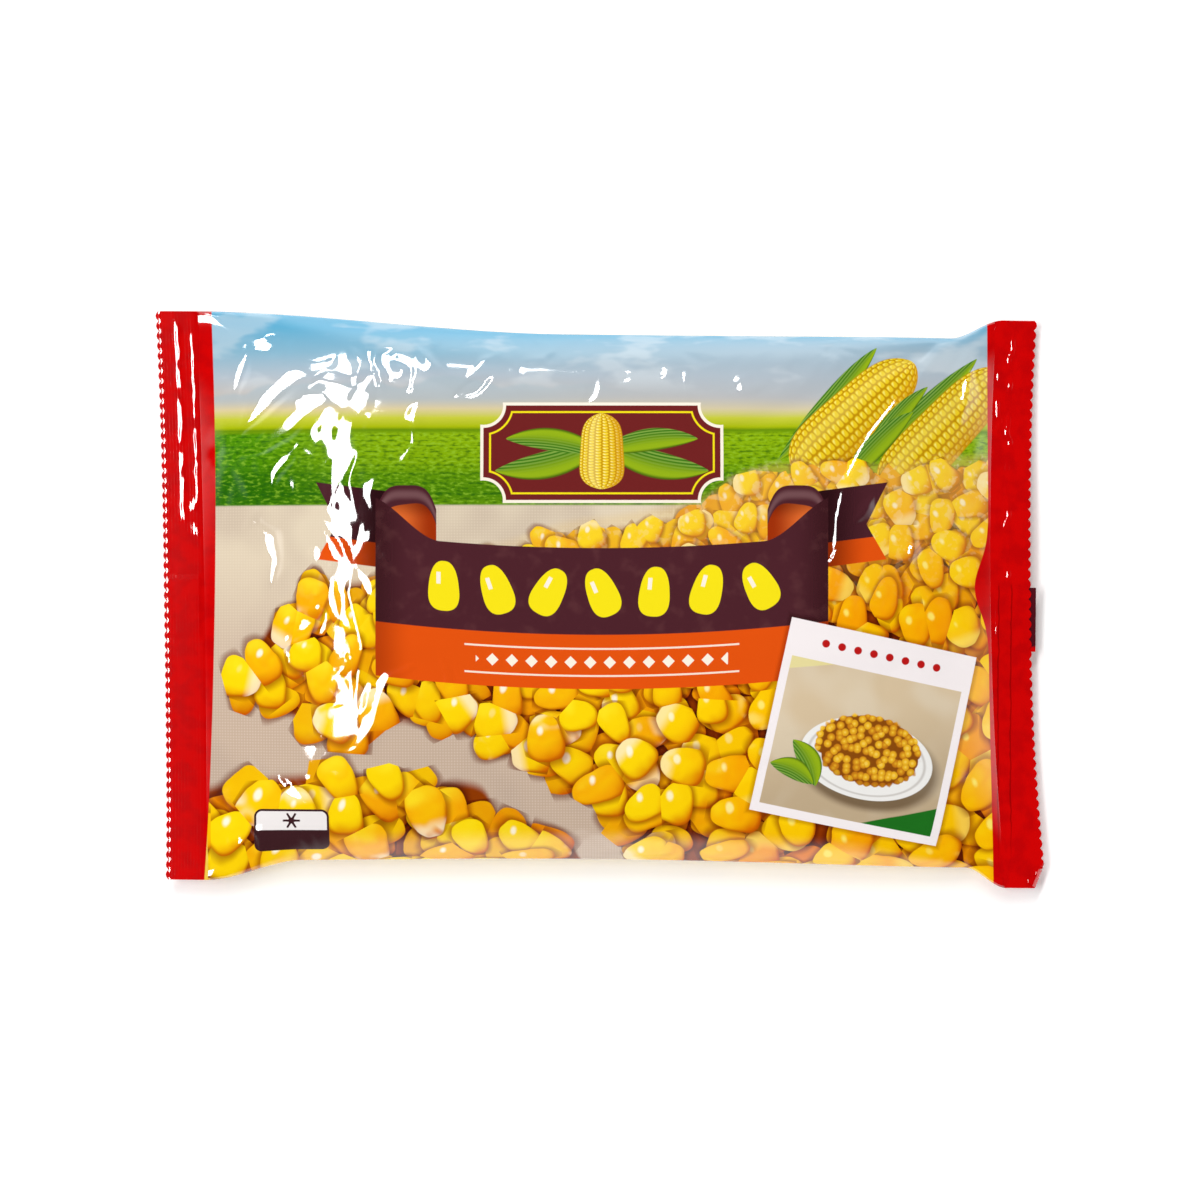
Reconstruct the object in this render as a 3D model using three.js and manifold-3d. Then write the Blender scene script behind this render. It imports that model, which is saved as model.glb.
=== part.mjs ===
// A frozen vegetable bag: a flow-wrapped pillow of printed film, lying on its back with the printed
// front up. X runs from the left end seal to the right one, Y from the lower long side to the upper one,
// Z up. The origin is on the table under the middle of the bag. All sizes are in millimetres.
import * as THREE from "three";
import { mergeVertices } from "three/addons/utils/BufferGeometryUtils.js";
import Module from "manifold-3d";

// Flat film tube and its end seals
const FLAT_HALF_WIDTH = 76.7; // half of the tube laid flat
const SEAL_WIDTH = 10.5; // crimped band at each end
const SEAL_THICKNESS = 0.6;
const TOOTH_COUNT = 57; // serrations of each cut end
const TOOTH_DEPTH = 0.75;
const RIB_COUNT = 5;
const RIB_HEIGHT = 0.22;

// Cut ends, as X over v, where v is -1 at the lower long side and 1 at the upper one
const LEFT_CUT = { middle: -117.6, lean: -1.35, bow: -0.95 };
const RIGHT_CUT = { middle: 116.3, lean: -1.15, bow: 3.15 };

// Long sides: corner heights, how far the filled body pulls them in, from which X and over what length
const UPPER_SIDE = {
  corner: { left: 77.9, right: 75.5 },
  pull: 5.0,
  crown: 0.2,
  leftRamp: { start: -107, length: 98 },
  rightRamp: { start: 109, length: 14.5 },
};
const LOWER_SIDE = {
  corner: { left: -75.4, right: -77.8 },
  pull: 5.3,
  crown: 1.5,
  leftRamp: { start: -106, length: 26 },
  rightRamp: { start: 109.5, length: 11 },
};

// Filled body
const FILL_THICKNESS = 19.8;
const FILL_RAMP = 66; // from a seal line to full thickness
const FILL_RAMP_POWER = 2.9;
const SHOULDER_POWER = 4.2; // squareness of the cross-section
const EDGE_ROLL_POWER = 13; // how late the film turns down at a long side
const SIDE_HEIGHT = 8.0; // where front and back film meet along a long side
const BELLY_POWER = 1.5;
const BELLY_FLATTENING = 0.55; // what the table takes off the belly
const BELLY_EASE = 0.5; // fullness by which the belly is flat on the table
const RELIEF_EASE = 0.33; // fullness by which folds reach their full rise

// Height of the rim along each end: a slow wave, and corners that turn up or down
const LEFT_END = { height: 6.6, wave: 0.9, halfTurns: 1.3, phase: 2.07, corners: 0.8 };
const RIGHT_END = { height: 6.2, wave: 1.1, halfTurns: 1.6, phase: 0.7, corners: -1.3 };
const SEAL_DROOP = 0.06; // slope of a seal toward the table
const RIM_BLEND = 34; // from a seal line to the height of the long sides

// Fin seal folded flat on the back
const FIN_ROOT_Y = 5.0;
const FIN_SLOPE = -0.0142; // the bag lies a little askew
const FIN_WIDTH = 17.3;
const FIN_THICKNESS = 0.5;
const FIN_LET_IN = 0.25; // how far it reaches up into the back film, to make one body with it
const FIN_OVERHANG_X = 117.6; // it sticks out past the right cut
const FIN_EASE = 9; // the belly comes back to the table over this distance beside the fin

// Folds of the front film. Each runs from point to point over its stretch; rise is negative for a valley.
const FOLDS = [
  { points: [[-103, 77], [-94, 70]], rise: -1.3, width: 4.0 },
  { points: [[-94, 70], [-80, 70.6], [-62, 67]], rise: 0.8, width: 4.5 },
  { points: [[-50, 65], [-72, 63.5], [-84, 58.5], [-92, 47]], rise: 1.7, width: 5.5 },
  { points: [[-64, 54.5], [-77, 54], [-94, 42]], rise: 1.5, width: 5.0 },
  { points: [[-66, 52], [-70, 33], [-75, 15], [-71, -10]], rise: 1.5, width: 4.5 },
  { points: [[-48, 60], [-58, 46], [-61, 28], [-58, 14]], rise: 1.4, width: 5.0 },
  { points: [[-91, 20], [-86, 2], [-84, -18]], rise: 0.9, width: 5.0 },
  { points: [[-52, -16], [-62, -32], [-72, -44]], rise: 1.2, width: 4.5 },
  { points: [[-94, -38], [-80, -54]], rise: 1.0, width: 4.5 },
  { points: [[104, 68], [83, 48], [67, 28], [62, 12]], rise: 1.5, width: 4.5 },
  { points: [[100, 58], [92, 44]], rise: 0.9, width: 4.0 },
  { points: [[96, -70], [103, -73]], rise: -1.2, width: 4.5 },
];
const FOLD_FADE = 0.12; // a fold keeps sin(PI * FOLD_FADE) of its rise at its two ends
// Gathers that run into the body from an end seal: their count over the width, height and reach
const GATHERS = [
  { end: "left", waves: 3.5, phase: 0.4, rise: 0.55, reach: 17 },
  { end: "right", waves: 4.5, phase: 1.9, rise: 0.9, reach: 19 },
];
const SECOND_WAVE = { rise: 0.5, waves: 1.7 }; // as shares of the first

// Mesh density
const COLUMNS = 40; // across the filled body
const SEAL_COLUMNS = 20; // across an end seal
const END_STATIONS = 11; // stations over each END_REACH beside a seal
const MIDDLE_STATIONS = 16;
const END_REACH = 0.21; // share of the body's length
const STATION_CROWDING = 1.15; // stations stand closer toward the seals
const FIN_COLUMNS = 3;
const FIN_STEPS = 62;

const { abs, exp, hypot, max, min, PI, sign, sin } = Math;
const mix = (a, b, t) => a + (b - a) * t;
const clamp01 = (t) => min(1, max(0, t));
const smooth = (t) => {
  const c = clamp01(t);
  return c * c * (3 - 2 * c);
};

const cutX = (cut, v) => cut.middle + cut.lean * v + cut.bow * v * v;
const leftCut = (v) => cutX(LEFT_CUT, v);
const rightCut = (v) => cutX(RIGHT_CUT, v);
const leftSealLine = (v) => leftCut(v) + SEAL_WIDTH;
const rightSealLine = (v) => rightCut(v) - SEAL_WIDTH;

// How much a long side is pulled in at x: 0 at the cuts, 1 along the filled body
function pulledIn(side, x) {
  const fromLeft = smooth((x - side.leftRamp.start) / side.leftRamp.length);
  const fromRight = smooth((side.rightRamp.start - x) / side.rightRamp.length);
  return fromLeft * fromRight;
}

function sideY(side, x) {
  const along = clamp01((x - LEFT_CUT.middle) / (RIGHT_CUT.middle - LEFT_CUT.middle));
  const corner = mix(side.corner.left, side.corner.right, along);
  const inward = side.pull * pulledIn(side, x) + side.crown * sin(PI * along) ** 2;
  return corner - sign(corner) * inward;
}

// Across the film: v is the place on the film, q the place in plan, both -1 to 1
function planPlace(v, x) {
  const upper = sideY(UPPER_SIDE, x);
  const lower = sideY(LOWER_SIDE, x);
  const half = (upper - lower) / 2;
  const spare = max(0, FLAT_HALF_WIDTH / half - 1);
  const roll = abs(v) ** EDGE_ROLL_POWER * sign(v);
  const q = clamp01(abs((1 + spare) * v - spare * roll)) * sign(v);
  return { y: (upper + lower) / 2 + half * q, q };
}

// Fullness: 0 along the whole rim, 1 in the middle of the filling
function fullness(x, v, q) {
  const inFromSeal = min(x - leftSealLine(v), rightSealLine(v) - x);
  const lengthwise = 1 - (1 - clamp01(inFromSeal / FILL_RAMP)) ** FILL_RAMP_POWER;
  const crosswise = max(0, 1 - abs(q) ** SHOULDER_POWER) ** 0.5;
  return lengthwise * crosswise;
}

function endHeight(end, v) {
  return end.height + end.wave * sin(PI * v * end.halfTurns + end.phase) + end.corners * v * v;
}

function rimHeight(x, v) {
  const fromLeft = x - leftSealLine(v);
  const fromRight = rightSealLine(v) - x;
  const inward = min(fromLeft, fromRight);
  const nearest = endHeight(fromLeft < fromRight ? LEFT_END : RIGHT_END, v);
  if (inward < 0) return nearest + SEAL_DROOP * inward;
  return mix(nearest, SIDE_HEIGHT, smooth(inward / RIM_BLEND));
}

const finRoot = (x) => FIN_ROOT_Y + FIN_SLOPE * x;
const finEdge = (x) => finRoot(x) - FIN_WIDTH;

// The belly stays a fin's thickness above the table beside the fin, and eases down to it further out
function bellyFloor(x, y) {
  const outside = max(0, y - finRoot(x), finEdge(x) - y);
  return FIN_THICKNESS * (1 - smooth(outside / FIN_EASE));
}

function backHeight(x, y, v, full) {
  const hanging = rimHeight(x, v) * (1 - full) ** BELLY_POWER - BELLY_FLATTENING * smooth(full / BELLY_EASE);
  return max(bellyFloor(x, y), hanging);
}

// A fold's rise at (x, y): greatest along its line, fading to nothing at both ends
function foldRise(fold, x, y) {
  let best = Infinity;
  let place = 0;
  const count = fold.points.length - 1;
  for (let k = 0; k < count; k++) {
    const [ax, ay] = fold.points[k];
    const [bx, by] = fold.points[k + 1];
    const length2 = (bx - ax) ** 2 + (by - ay) ** 2;
    const t = clamp01(((x - ax) * (bx - ax) + (y - ay) * (by - ay)) / length2);
    const distance = hypot(x - mix(ax, bx, t), y - mix(ay, by, t));
    if (distance < best) {
      best = distance;
      place = (k + t) / count;
    }
  }
  return fold.rise * exp(-((best / fold.width) ** 2)) * sin(PI * mix(FOLD_FADE, 1 - FOLD_FADE, place));
}

function gatherRise(gather, x, v) {
  const inFromSeal = gather.end === "left" ? x - leftSealLine(v) : rightSealLine(v) - x;
  if (inFromSeal <= 0) return 0;
  const share = inFromSeal / gather.reach;
  const first = sin(PI * gather.waves * v + gather.phase);
  const second = SECOND_WAVE.rise * sin(PI * gather.waves * SECOND_WAVE.waves * v);
  return gather.rise * (first + second) * (share * exp(1 - share)) ** 2;
}

function frontHeight(x, y, v, full) {
  let height = backHeight(x, y, v, full) + SEAL_THICKNESS + FILL_THICKNESS * full;
  const ease = smooth(full / RELIEF_EASE);
  for (const fold of FOLDS) height += ease * foldRise(fold, x, y);
  for (const gather of GATHERS) height += ease * gatherRise(gather, x, v);
  return height;
}

// The crimp lifts and lowers both films together
function crimp(x, v) {
  const intoSeal = max(leftSealLine(v) - x, x - rightSealLine(v));
  if (intoSeal <= 0) return 0;
  return RIB_HEIGHT * sin((2 * PI * RIB_COUNT * intoSeal) / SEAL_WIDTH);
}

function filmPoint(x, v, front) {
  const { y, q } = planPlace(v, x);
  const full = fullness(x, v, q);
  const z = front ? frontHeight(x, y, v, full) : backHeight(x, y, v, full);
  return [x, y, z + crimp(x, v)];
}

// One row of points across a film, at a station between -1 (left cut) and 1 (right cut)
function stationX(station, v) {
  if (station.zone === "left") return mix(leftCut(v), leftSealLine(v), station.share);
  if (station.zone === "right") return mix(rightSealLine(v), rightCut(v), station.share);
  return mix(leftSealLine(v), rightSealLine(v), station.share);
}

function stations() {
  const list = [];
  const ribSteps = RIB_COUNT * 2;
  const quarterRib = 0.5 / ribSteps;
  for (let k = 0; k < ribSteps; k++) list.push({ zone: "left", share: quarterRib + k / ribSteps });
  for (let k = 0; k < END_STATIONS; k++) {
    list.push({ zone: "body", share: END_REACH * (k / END_STATIONS) ** STATION_CROWDING });
  }
  for (let k = 0; k <= MIDDLE_STATIONS; k++) {
    list.push({ zone: "body", share: mix(END_REACH, 1 - END_REACH, k / MIDDLE_STATIONS) });
  }
  for (let k = END_STATIONS - 1; k >= 0; k--) {
    list.push({ zone: "body", share: 1 - END_REACH * (k / END_STATIONS) ** STATION_CROWDING });
  }
  for (let k = 0; k < ribSteps; k++) list.push({ zone: "right", share: quarterRib + k / ribSteps });
  return list;
}

// Collects points and triangles, with the rows of both films joined into one closed skin
class Skin {
  positions = [];
  triangles = [];

  row(points) {
    const first = this.positions.length / 3;
    for (const p of points) this.positions.push(...p);
    return points.map((_, k) => first + k);
  }

  // Triangles between two rows that run the same way, of any two lengths
  stitch(a, b) {
    let i = 0;
    let j = 0;
    while (i < a.length - 1 || j < b.length - 1) {
      const nextA = (i + 1) / (a.length - 1);
      const nextB = (j + 1) / (b.length - 1);
      if (j === b.length - 1 || (i < a.length - 1 && nextA <= nextB)) {
        this.triangles.push(a[i], a[i + 1], b[j]);
        i++;
      } else {
        this.triangles.push(a[i], b[j + 1], b[j]);
        j++;
      }
    }
  }

  geometry() {
    const made = new THREE.BufferGeometry();
    made.setAttribute("position", new THREE.Float32BufferAttribute(this.positions, 3));
    made.setIndex(this.triangles);
    return made;
  }
}

// The serrated cut: a row of tooth roots and tips
function toothRow(cut, outward, front) {
  const points = [];
  for (let k = 0; k <= TOOTH_COUNT * 2; k++) {
    const v = -1 + k / TOOTH_COUNT;
    const isTip = k % 2 === 1;
    const x = cut(v) + outward * (isTip ? 0 : -TOOTH_DEPTH);
    points.push(filmPoint(x, v, front));
  }
  return points;
}

function filmRow(station, front) {
  const points = [];
  const columns = station.zone === "body" ? COLUMNS : SEAL_COLUMNS;
  for (let k = 0; k <= columns; k++) {
    const v = -1 + (2 * k) / columns;
    points.push(filmPoint(stationX(station, v), v, front));
  }
  return points;
}

function pouchGeometry() {
  const skin = new Skin();
  const list = stations();
  const frontRows = [
    skin.row(toothRow(leftCut, -1, true)),
    ...list.map((station) => skin.row(filmRow(station, true))),
    skin.row(toothRow(rightCut, 1, true)),
  ];
  const backRows = [
    skin.row(toothRow(leftCut, -1, false)),
    ...list.map((station) => skin.row(filmRow(station, false))),
    skin.row(toothRow(rightCut, 1, false)),
  ];
  const last = frontRows.length - 1;
  for (let k = 0; k < last; k++) {
    skin.stitch(frontRows[k + 1], frontRows[k]);
    skin.stitch(backRows[k], backRows[k + 1]);
  }
  skin.stitch(frontRows[0], backRows[0]);
  skin.stitch(backRows[last], frontRows[last]);
  const along = (rows, end) => rows.map((row) => (end === "lower" ? row[0] : row[row.length - 1]));
  skin.stitch(along(backRows, "lower"), along(frontRows, "lower"));
  skin.stitch(along(frontRows, "upper"), along(backRows, "upper"));
  return skin.geometry();
}

// The back film's height at a place in plan
function backHeightAt(x, y) {
  const middle = (sideY(UPPER_SIDE, x) + sideY(LOWER_SIDE, x)) / 2;
  const half = (sideY(UPPER_SIDE, x) - sideY(LOWER_SIDE, x)) / 2;
  const q = (y - middle) / half;
  const v = (y - middle) / FLAT_HALF_WIDTH;
  return backHeight(x, y, v, fullness(x, v, q));
}

// The fin lies against the back film, along the whole bag
function finGeometry() {
  const skin = new Skin();
  const underRows = [];
  const overRows = [];
  const startX = leftCut(0) + TOOTH_DEPTH;
  const endX = FIN_OVERHANG_X;
  for (let k = 0; k <= FIN_STEPS; k++) {
    const x = mix(startX, endX, k / FIN_STEPS);
    const under = [];
    const over = [];
    for (let c = 0; c <= FIN_COLUMNS; c++) {
      const y = mix(finEdge(x), finRoot(x), c / FIN_COLUMNS);
      const height = backHeightAt(min(x, rightCut(0) - TOOTH_DEPTH), y);
      under.push([x, y, max(0, height - FIN_THICKNESS)]);
      over.push([x, y, height + FIN_LET_IN]);
    }
    underRows.push(skin.row(under));
    overRows.push(skin.row(over));
  }
  for (let k = 0; k < FIN_STEPS; k++) {
    skin.stitch(overRows[k + 1], overRows[k]);
    skin.stitch(underRows[k], underRows[k + 1]);
  }
  skin.stitch(overRows[0], underRows[0]);
  skin.stitch(underRows[FIN_STEPS], overRows[FIN_STEPS]);
  const along = (rows, pick) => rows.map((row) => row[pick]);
  skin.stitch(along(underRows, 0), along(overRows, 0));
  skin.stitch(along(overRows, FIN_COLUMNS), along(underRows, FIN_COLUMNS));
  return skin.geometry();
}

const wasm = await Module();
wasm.setup();

function solidOf(geometry) {
  const merged = mergeVertices(geometry, 1e-4);
  return new wasm.Manifold(
    new wasm.Mesh({
      numProp: 3,
      vertProperties: merged.attributes.position.array,
      triVerts: new Uint32Array(merged.index.array),
    }),
  );
}

function geometryOf(solid) {
  const mesh = solid.getMesh();
  const made = new THREE.BufferGeometry();
  made.setAttribute("position", new THREE.BufferAttribute(mesh.vertProperties, 3));
  made.setIndex(new THREE.BufferAttribute(mesh.triVerts, 1));
  made.computeVertexNormals();
  return made;
}

const bagGeometry = geometryOf(solidOf(pouchGeometry()).add(solidOf(finGeometry())));

// The middle of the bag's own box goes over the origin, and its lowest face onto the table
bagGeometry.computeBoundingBox();
const box = bagGeometry.boundingBox;
bagGeometry.translate(-(box.min.x + box.max.x) / 2, -(box.min.y + box.max.y) / 2, -box.min.z);

const printedFilm = new THREE.MeshStandardMaterial({ color: 0xe3ae1c, roughness: 0.28, metalness: 0 });
const bag = new THREE.Mesh(bagGeometry, printedFilm);
bag.name = "film_bag";

const group = new THREE.Group();
group.add(bag);
export default group;
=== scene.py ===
"""A frozen vegetable bag: a filled pillow of glossy printed film, on its back, seen from straight above."""

import itertools
import math
import random
from math import exp, hypot, pi, sin

import bpy
import numpy as np
from mathutils import Matrix, Vector


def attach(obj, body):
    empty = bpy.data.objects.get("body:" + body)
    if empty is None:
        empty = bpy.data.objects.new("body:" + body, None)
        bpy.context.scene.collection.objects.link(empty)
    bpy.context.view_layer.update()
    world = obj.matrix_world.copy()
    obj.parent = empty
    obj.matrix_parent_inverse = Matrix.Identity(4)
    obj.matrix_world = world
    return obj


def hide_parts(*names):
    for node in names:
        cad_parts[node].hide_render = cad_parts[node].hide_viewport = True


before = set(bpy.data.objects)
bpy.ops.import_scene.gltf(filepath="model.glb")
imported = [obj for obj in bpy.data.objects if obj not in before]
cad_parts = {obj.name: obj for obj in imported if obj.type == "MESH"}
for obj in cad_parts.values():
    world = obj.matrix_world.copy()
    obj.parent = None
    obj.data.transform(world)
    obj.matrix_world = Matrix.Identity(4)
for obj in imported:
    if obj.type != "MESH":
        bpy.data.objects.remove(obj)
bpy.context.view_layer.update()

MM = 0.001  # shapes are worked out in millimetres, and brought to metres once they are done

# Film tube and end seals, as the solid has them
FLAT_HALF_WIDTH = 76.7
SEAL_WIDTH = 10.5
SEAL_THICKNESS = 0.6
TOOTH_COUNT = 57
TOOTH_DEPTH = 0.75
LEFT_CUT = {"middle": -117.6, "lean": -1.35, "bow": -0.95}
RIGHT_CUT = {"middle": 116.3, "lean": -1.15, "bow": 3.15}
UPPER_SIDE = {
    "left": 77.9, "right": 75.5, "pull": 5.0, "crown": 0.2,
    "left_ramp": (-107, 98), "right_ramp": (109, 14.5),
}
LOWER_SIDE = {
    "left": -75.4, "right": -77.8, "pull": 5.3, "crown": 1.5,
    "left_ramp": (-106, 26), "right_ramp": (109.5, 11),
}

# Filled body, as the solid has it
FILL_THICKNESS = 19.8
FILL_RAMP = 66
FILL_RAMP_POWER = 2.9
SHOULDER_POWER = 4.2
EDGE_ROLL_POWER = 13
SIDE_HEIGHT = 8.0
BELLY_POWER = 1.5
BELLY_FLATTENING = 0.55
BELLY_EASE = 0.5
RELIEF_EASE = 0.2
LEFT_END = {"height": 6.6, "wave": 0.9, "half_turns": 1.3, "phase": 2.07, "corners": 0.8}
RIGHT_END = {"height": 6.2, "wave": 1.1, "half_turns": 1.6, "phase": 0.7, "corners": -1.3}
SEAL_DROOP = 0.06
RIM_BLEND = 34
RIM_LIFT = 0.3  # the film's edge runs into the middle of the seals

# Fin seal folded flat on the back, as the solid has it
FIN_ROOT_Y = 5.0
FIN_SLOPE = -0.0142
FIN_WIDTH = 17.3
FIN_THICKNESS = 0.5
FIN_OVERHANG_X = 117.6
FIN_EASE = 9


def mix(a, b, t):
    return a + (b - a) * t


def clamp01(t):
    return min(1.0, max(0.0, t))


def smooth(t):
    c = clamp01(t)
    return c * c * (3 - 2 * c)


def power(base, exponent):
    return max(0.0, base) ** exponent


def cut_x(cut, v):
    return cut["middle"] + cut["lean"] * v + cut["bow"] * v * v


def left_seal_line(v):
    return cut_x(LEFT_CUT, v) + SEAL_WIDTH


def right_seal_line(v):
    return cut_x(RIGHT_CUT, v) - SEAL_WIDTH


def side_y(side, x):
    along = clamp01((x - LEFT_CUT["middle"]) / (RIGHT_CUT["middle"] - LEFT_CUT["middle"]))
    corner = mix(side["left"], side["right"], along)
    left_start, left_length = side["left_ramp"]
    right_start, right_length = side["right_ramp"]
    pulled_in = smooth((x - left_start) / left_length) * smooth((right_start - x) / right_length)
    inward = side["pull"] * pulled_in + side["crown"] * sin(pi * along) ** 2
    return corner - math.copysign(inward, corner)


def middle_y(x):
    return (side_y(UPPER_SIDE, x) + side_y(LOWER_SIDE, x)) / 2


def half_width(x):
    return (side_y(UPPER_SIDE, x) - side_y(LOWER_SIDE, x)) / 2


def plan_place(v, x):
    """Where a point of the film is in plan: its y, and q from -1 to 1 across the bag."""
    half = half_width(x)
    spare = max(0.0, FLAT_HALF_WIDTH / half - 1)
    roll = abs(v) ** EDGE_ROLL_POWER
    q = math.copysign(clamp01((1 + spare) * abs(v) - spare * roll), v)
    return middle_y(x) + half * q, q


def fullness(x, v, q):
    inward = min(x - left_seal_line(v), right_seal_line(v) - x)
    lengthwise = 1 - power(1 - clamp01(inward / FILL_RAMP), FILL_RAMP_POWER)
    crosswise = math.sqrt(max(0.0, 1 - abs(q) ** SHOULDER_POWER))
    return lengthwise * crosswise


def end_height(end, v):
    wave = end["wave"] * sin(pi * v * end["half_turns"] + end["phase"])
    return end["height"] + wave + end["corners"] * v * v


def rim_height(x, v):
    from_left = x - left_seal_line(v)
    from_right = right_seal_line(v) - x
    inward = min(from_left, from_right)
    nearest = end_height(LEFT_END if from_left < from_right else RIGHT_END, v)
    if inward < 0:
        return nearest + SEAL_DROOP * inward
    return mix(nearest, SIDE_HEIGHT, smooth(inward / RIM_BLEND))


def fin_root(x):
    return FIN_ROOT_Y + FIN_SLOPE * x


def belly_floor(x, y):
    outside = max(0.0, y - fin_root(x), fin_root(x) - FIN_WIDTH - y)
    return FIN_THICKNESS * (1 - smooth(outside / FIN_EASE))


def back_height(x, y, v, full):
    hanging = rim_height(x, v) * power(1 - full, BELLY_POWER)
    return max(belly_floor(x, y), hanging - BELLY_FLATTENING * smooth(full / BELLY_EASE))


def film_point(share, v, front):
    """A point of the film between the seal lines."""
    x = mix(left_seal_line(v), right_seal_line(v), share)
    y, q = plan_place(v, x)
    full = fullness(x, v, q)
    z = back_height(x, y, v, full) + RIM_LIFT * (1 if front else 1 - full)
    return Vector((x, y, z + FILL_THICKNESS * full if front else z))


def heights_at(x, y):
    """Heights of the smooth back and front film over a place away from the side edges."""
    from_middle = y - middle_y(x)
    v = from_middle / FLAT_HALF_WIDTH
    full = fullness(x, v, from_middle / half_width(x))
    back = back_height(x, y, v, full)
    return back, back + FILL_THICKNESS * full


def front_slope(x, y):
    """How far the smooth front film leans towards +X and +Y."""
    step = 0.5
    across_x = heights_at(x - step, y)[1] - heights_at(x + step, y)[1]
    across_y = heights_at(x, y - step)[1] - heights_at(x, y + step)[1]
    return Vector((across_x, across_y)) / (2 * step)


# Two long softboxes in a bend hang high at the upper left. Each goes from one direction to another: slopes
# off the vertical, towards +X and +Y
LIGHT_HEIGHT = 3.0
SOFTBOXES = {
    "left_softbox": ((-0.43, -0.2), (-0.42, 0.34)),
    "upper_softbox": ((-0.31, 0.42), (-0.09, 0.9)),
}
SOFTBOX_WIDTH = 0.14  # as a slope
CAMERA_HEIGHT = 906  # in millimetres
LEAN_STEPS = 8


def mirror_leans(x, y):
    """Leans of the film at (x, y) that mirror points along the middle of a softbox to the camera."""
    towards_camera = Vector((-x, -y, CAMERA_HEIGHT)).normalized()
    leans = []
    for first, last in SOFTBOXES.values():
        for step in range(1, LEAN_STEPS):
            slope = Vector(first).lerp(Vector(last), step / LEAN_STEPS)
            light = Vector((*slope, 1)) * (LIGHT_HEIGHT / MM)
            normal = towards_camera + (light - Vector((x, y, 0))).normalized()
            leans.append(normal.xy / normal.z)
    return leans


FACING = (-0.83, 0.56)  # to the upper left in plan, where most lit flanks face


def crease(points, lit, gentle, start=0.0, end=0.0, facing=FACING, lean=None):
    """A crease of the front film, from point to point over its stretch in plan, in millimetres.

    It has a flat flank where a streak of the softboxes shines, as wide as the streak, and a gentler one
    behind. Both narrow to nothing at its start and end, or stay as wide as start and end say. The points
    run along the middle of the streak."""
    facing = Vector(facing).normalized()
    leans = []
    crest = []
    for number, point in enumerate(points):
        before, after = points[max(0, number - 1)], points[min(len(points) - 1, number + 1)]
        along = (Vector(after) - Vector(before)).normalized()
        across = Vector((-along.y, along.x))
        if across.dot(facing) < 0:
            across = -across
        if lean is None:
            smooth_lean = front_slope(*point)
            misses = [(abs((aim - smooth_lean).dot(along)), (aim - smooth_lean).dot(across))
                      for aim in mirror_leans(*point)]
            leans.append(min(misses, key=lambda miss: miss[0] + 0.25 * abs(miss[1]))[1])
        else:
            leans.append(lean)
        share = number / (len(points) - 1)
        crest.append(Vector(point) - across * lit / 2 * opening_of(start, end, share))
    return {
        "points": [tuple(point) for point in crest], "lit": lit, "gentle": gentle, "start": start, "end": end,
        "facing": facing, "leans": leans, "clear": lean is None,
    }


def opening_of(start, end, along):
    """How wide a crease is at a share of its length, from its ends' shares of the full width."""
    return mix(start, 1, smooth(along / 0.4)) * mix(end, 1, smooth((1 - along) / 0.5))


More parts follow.
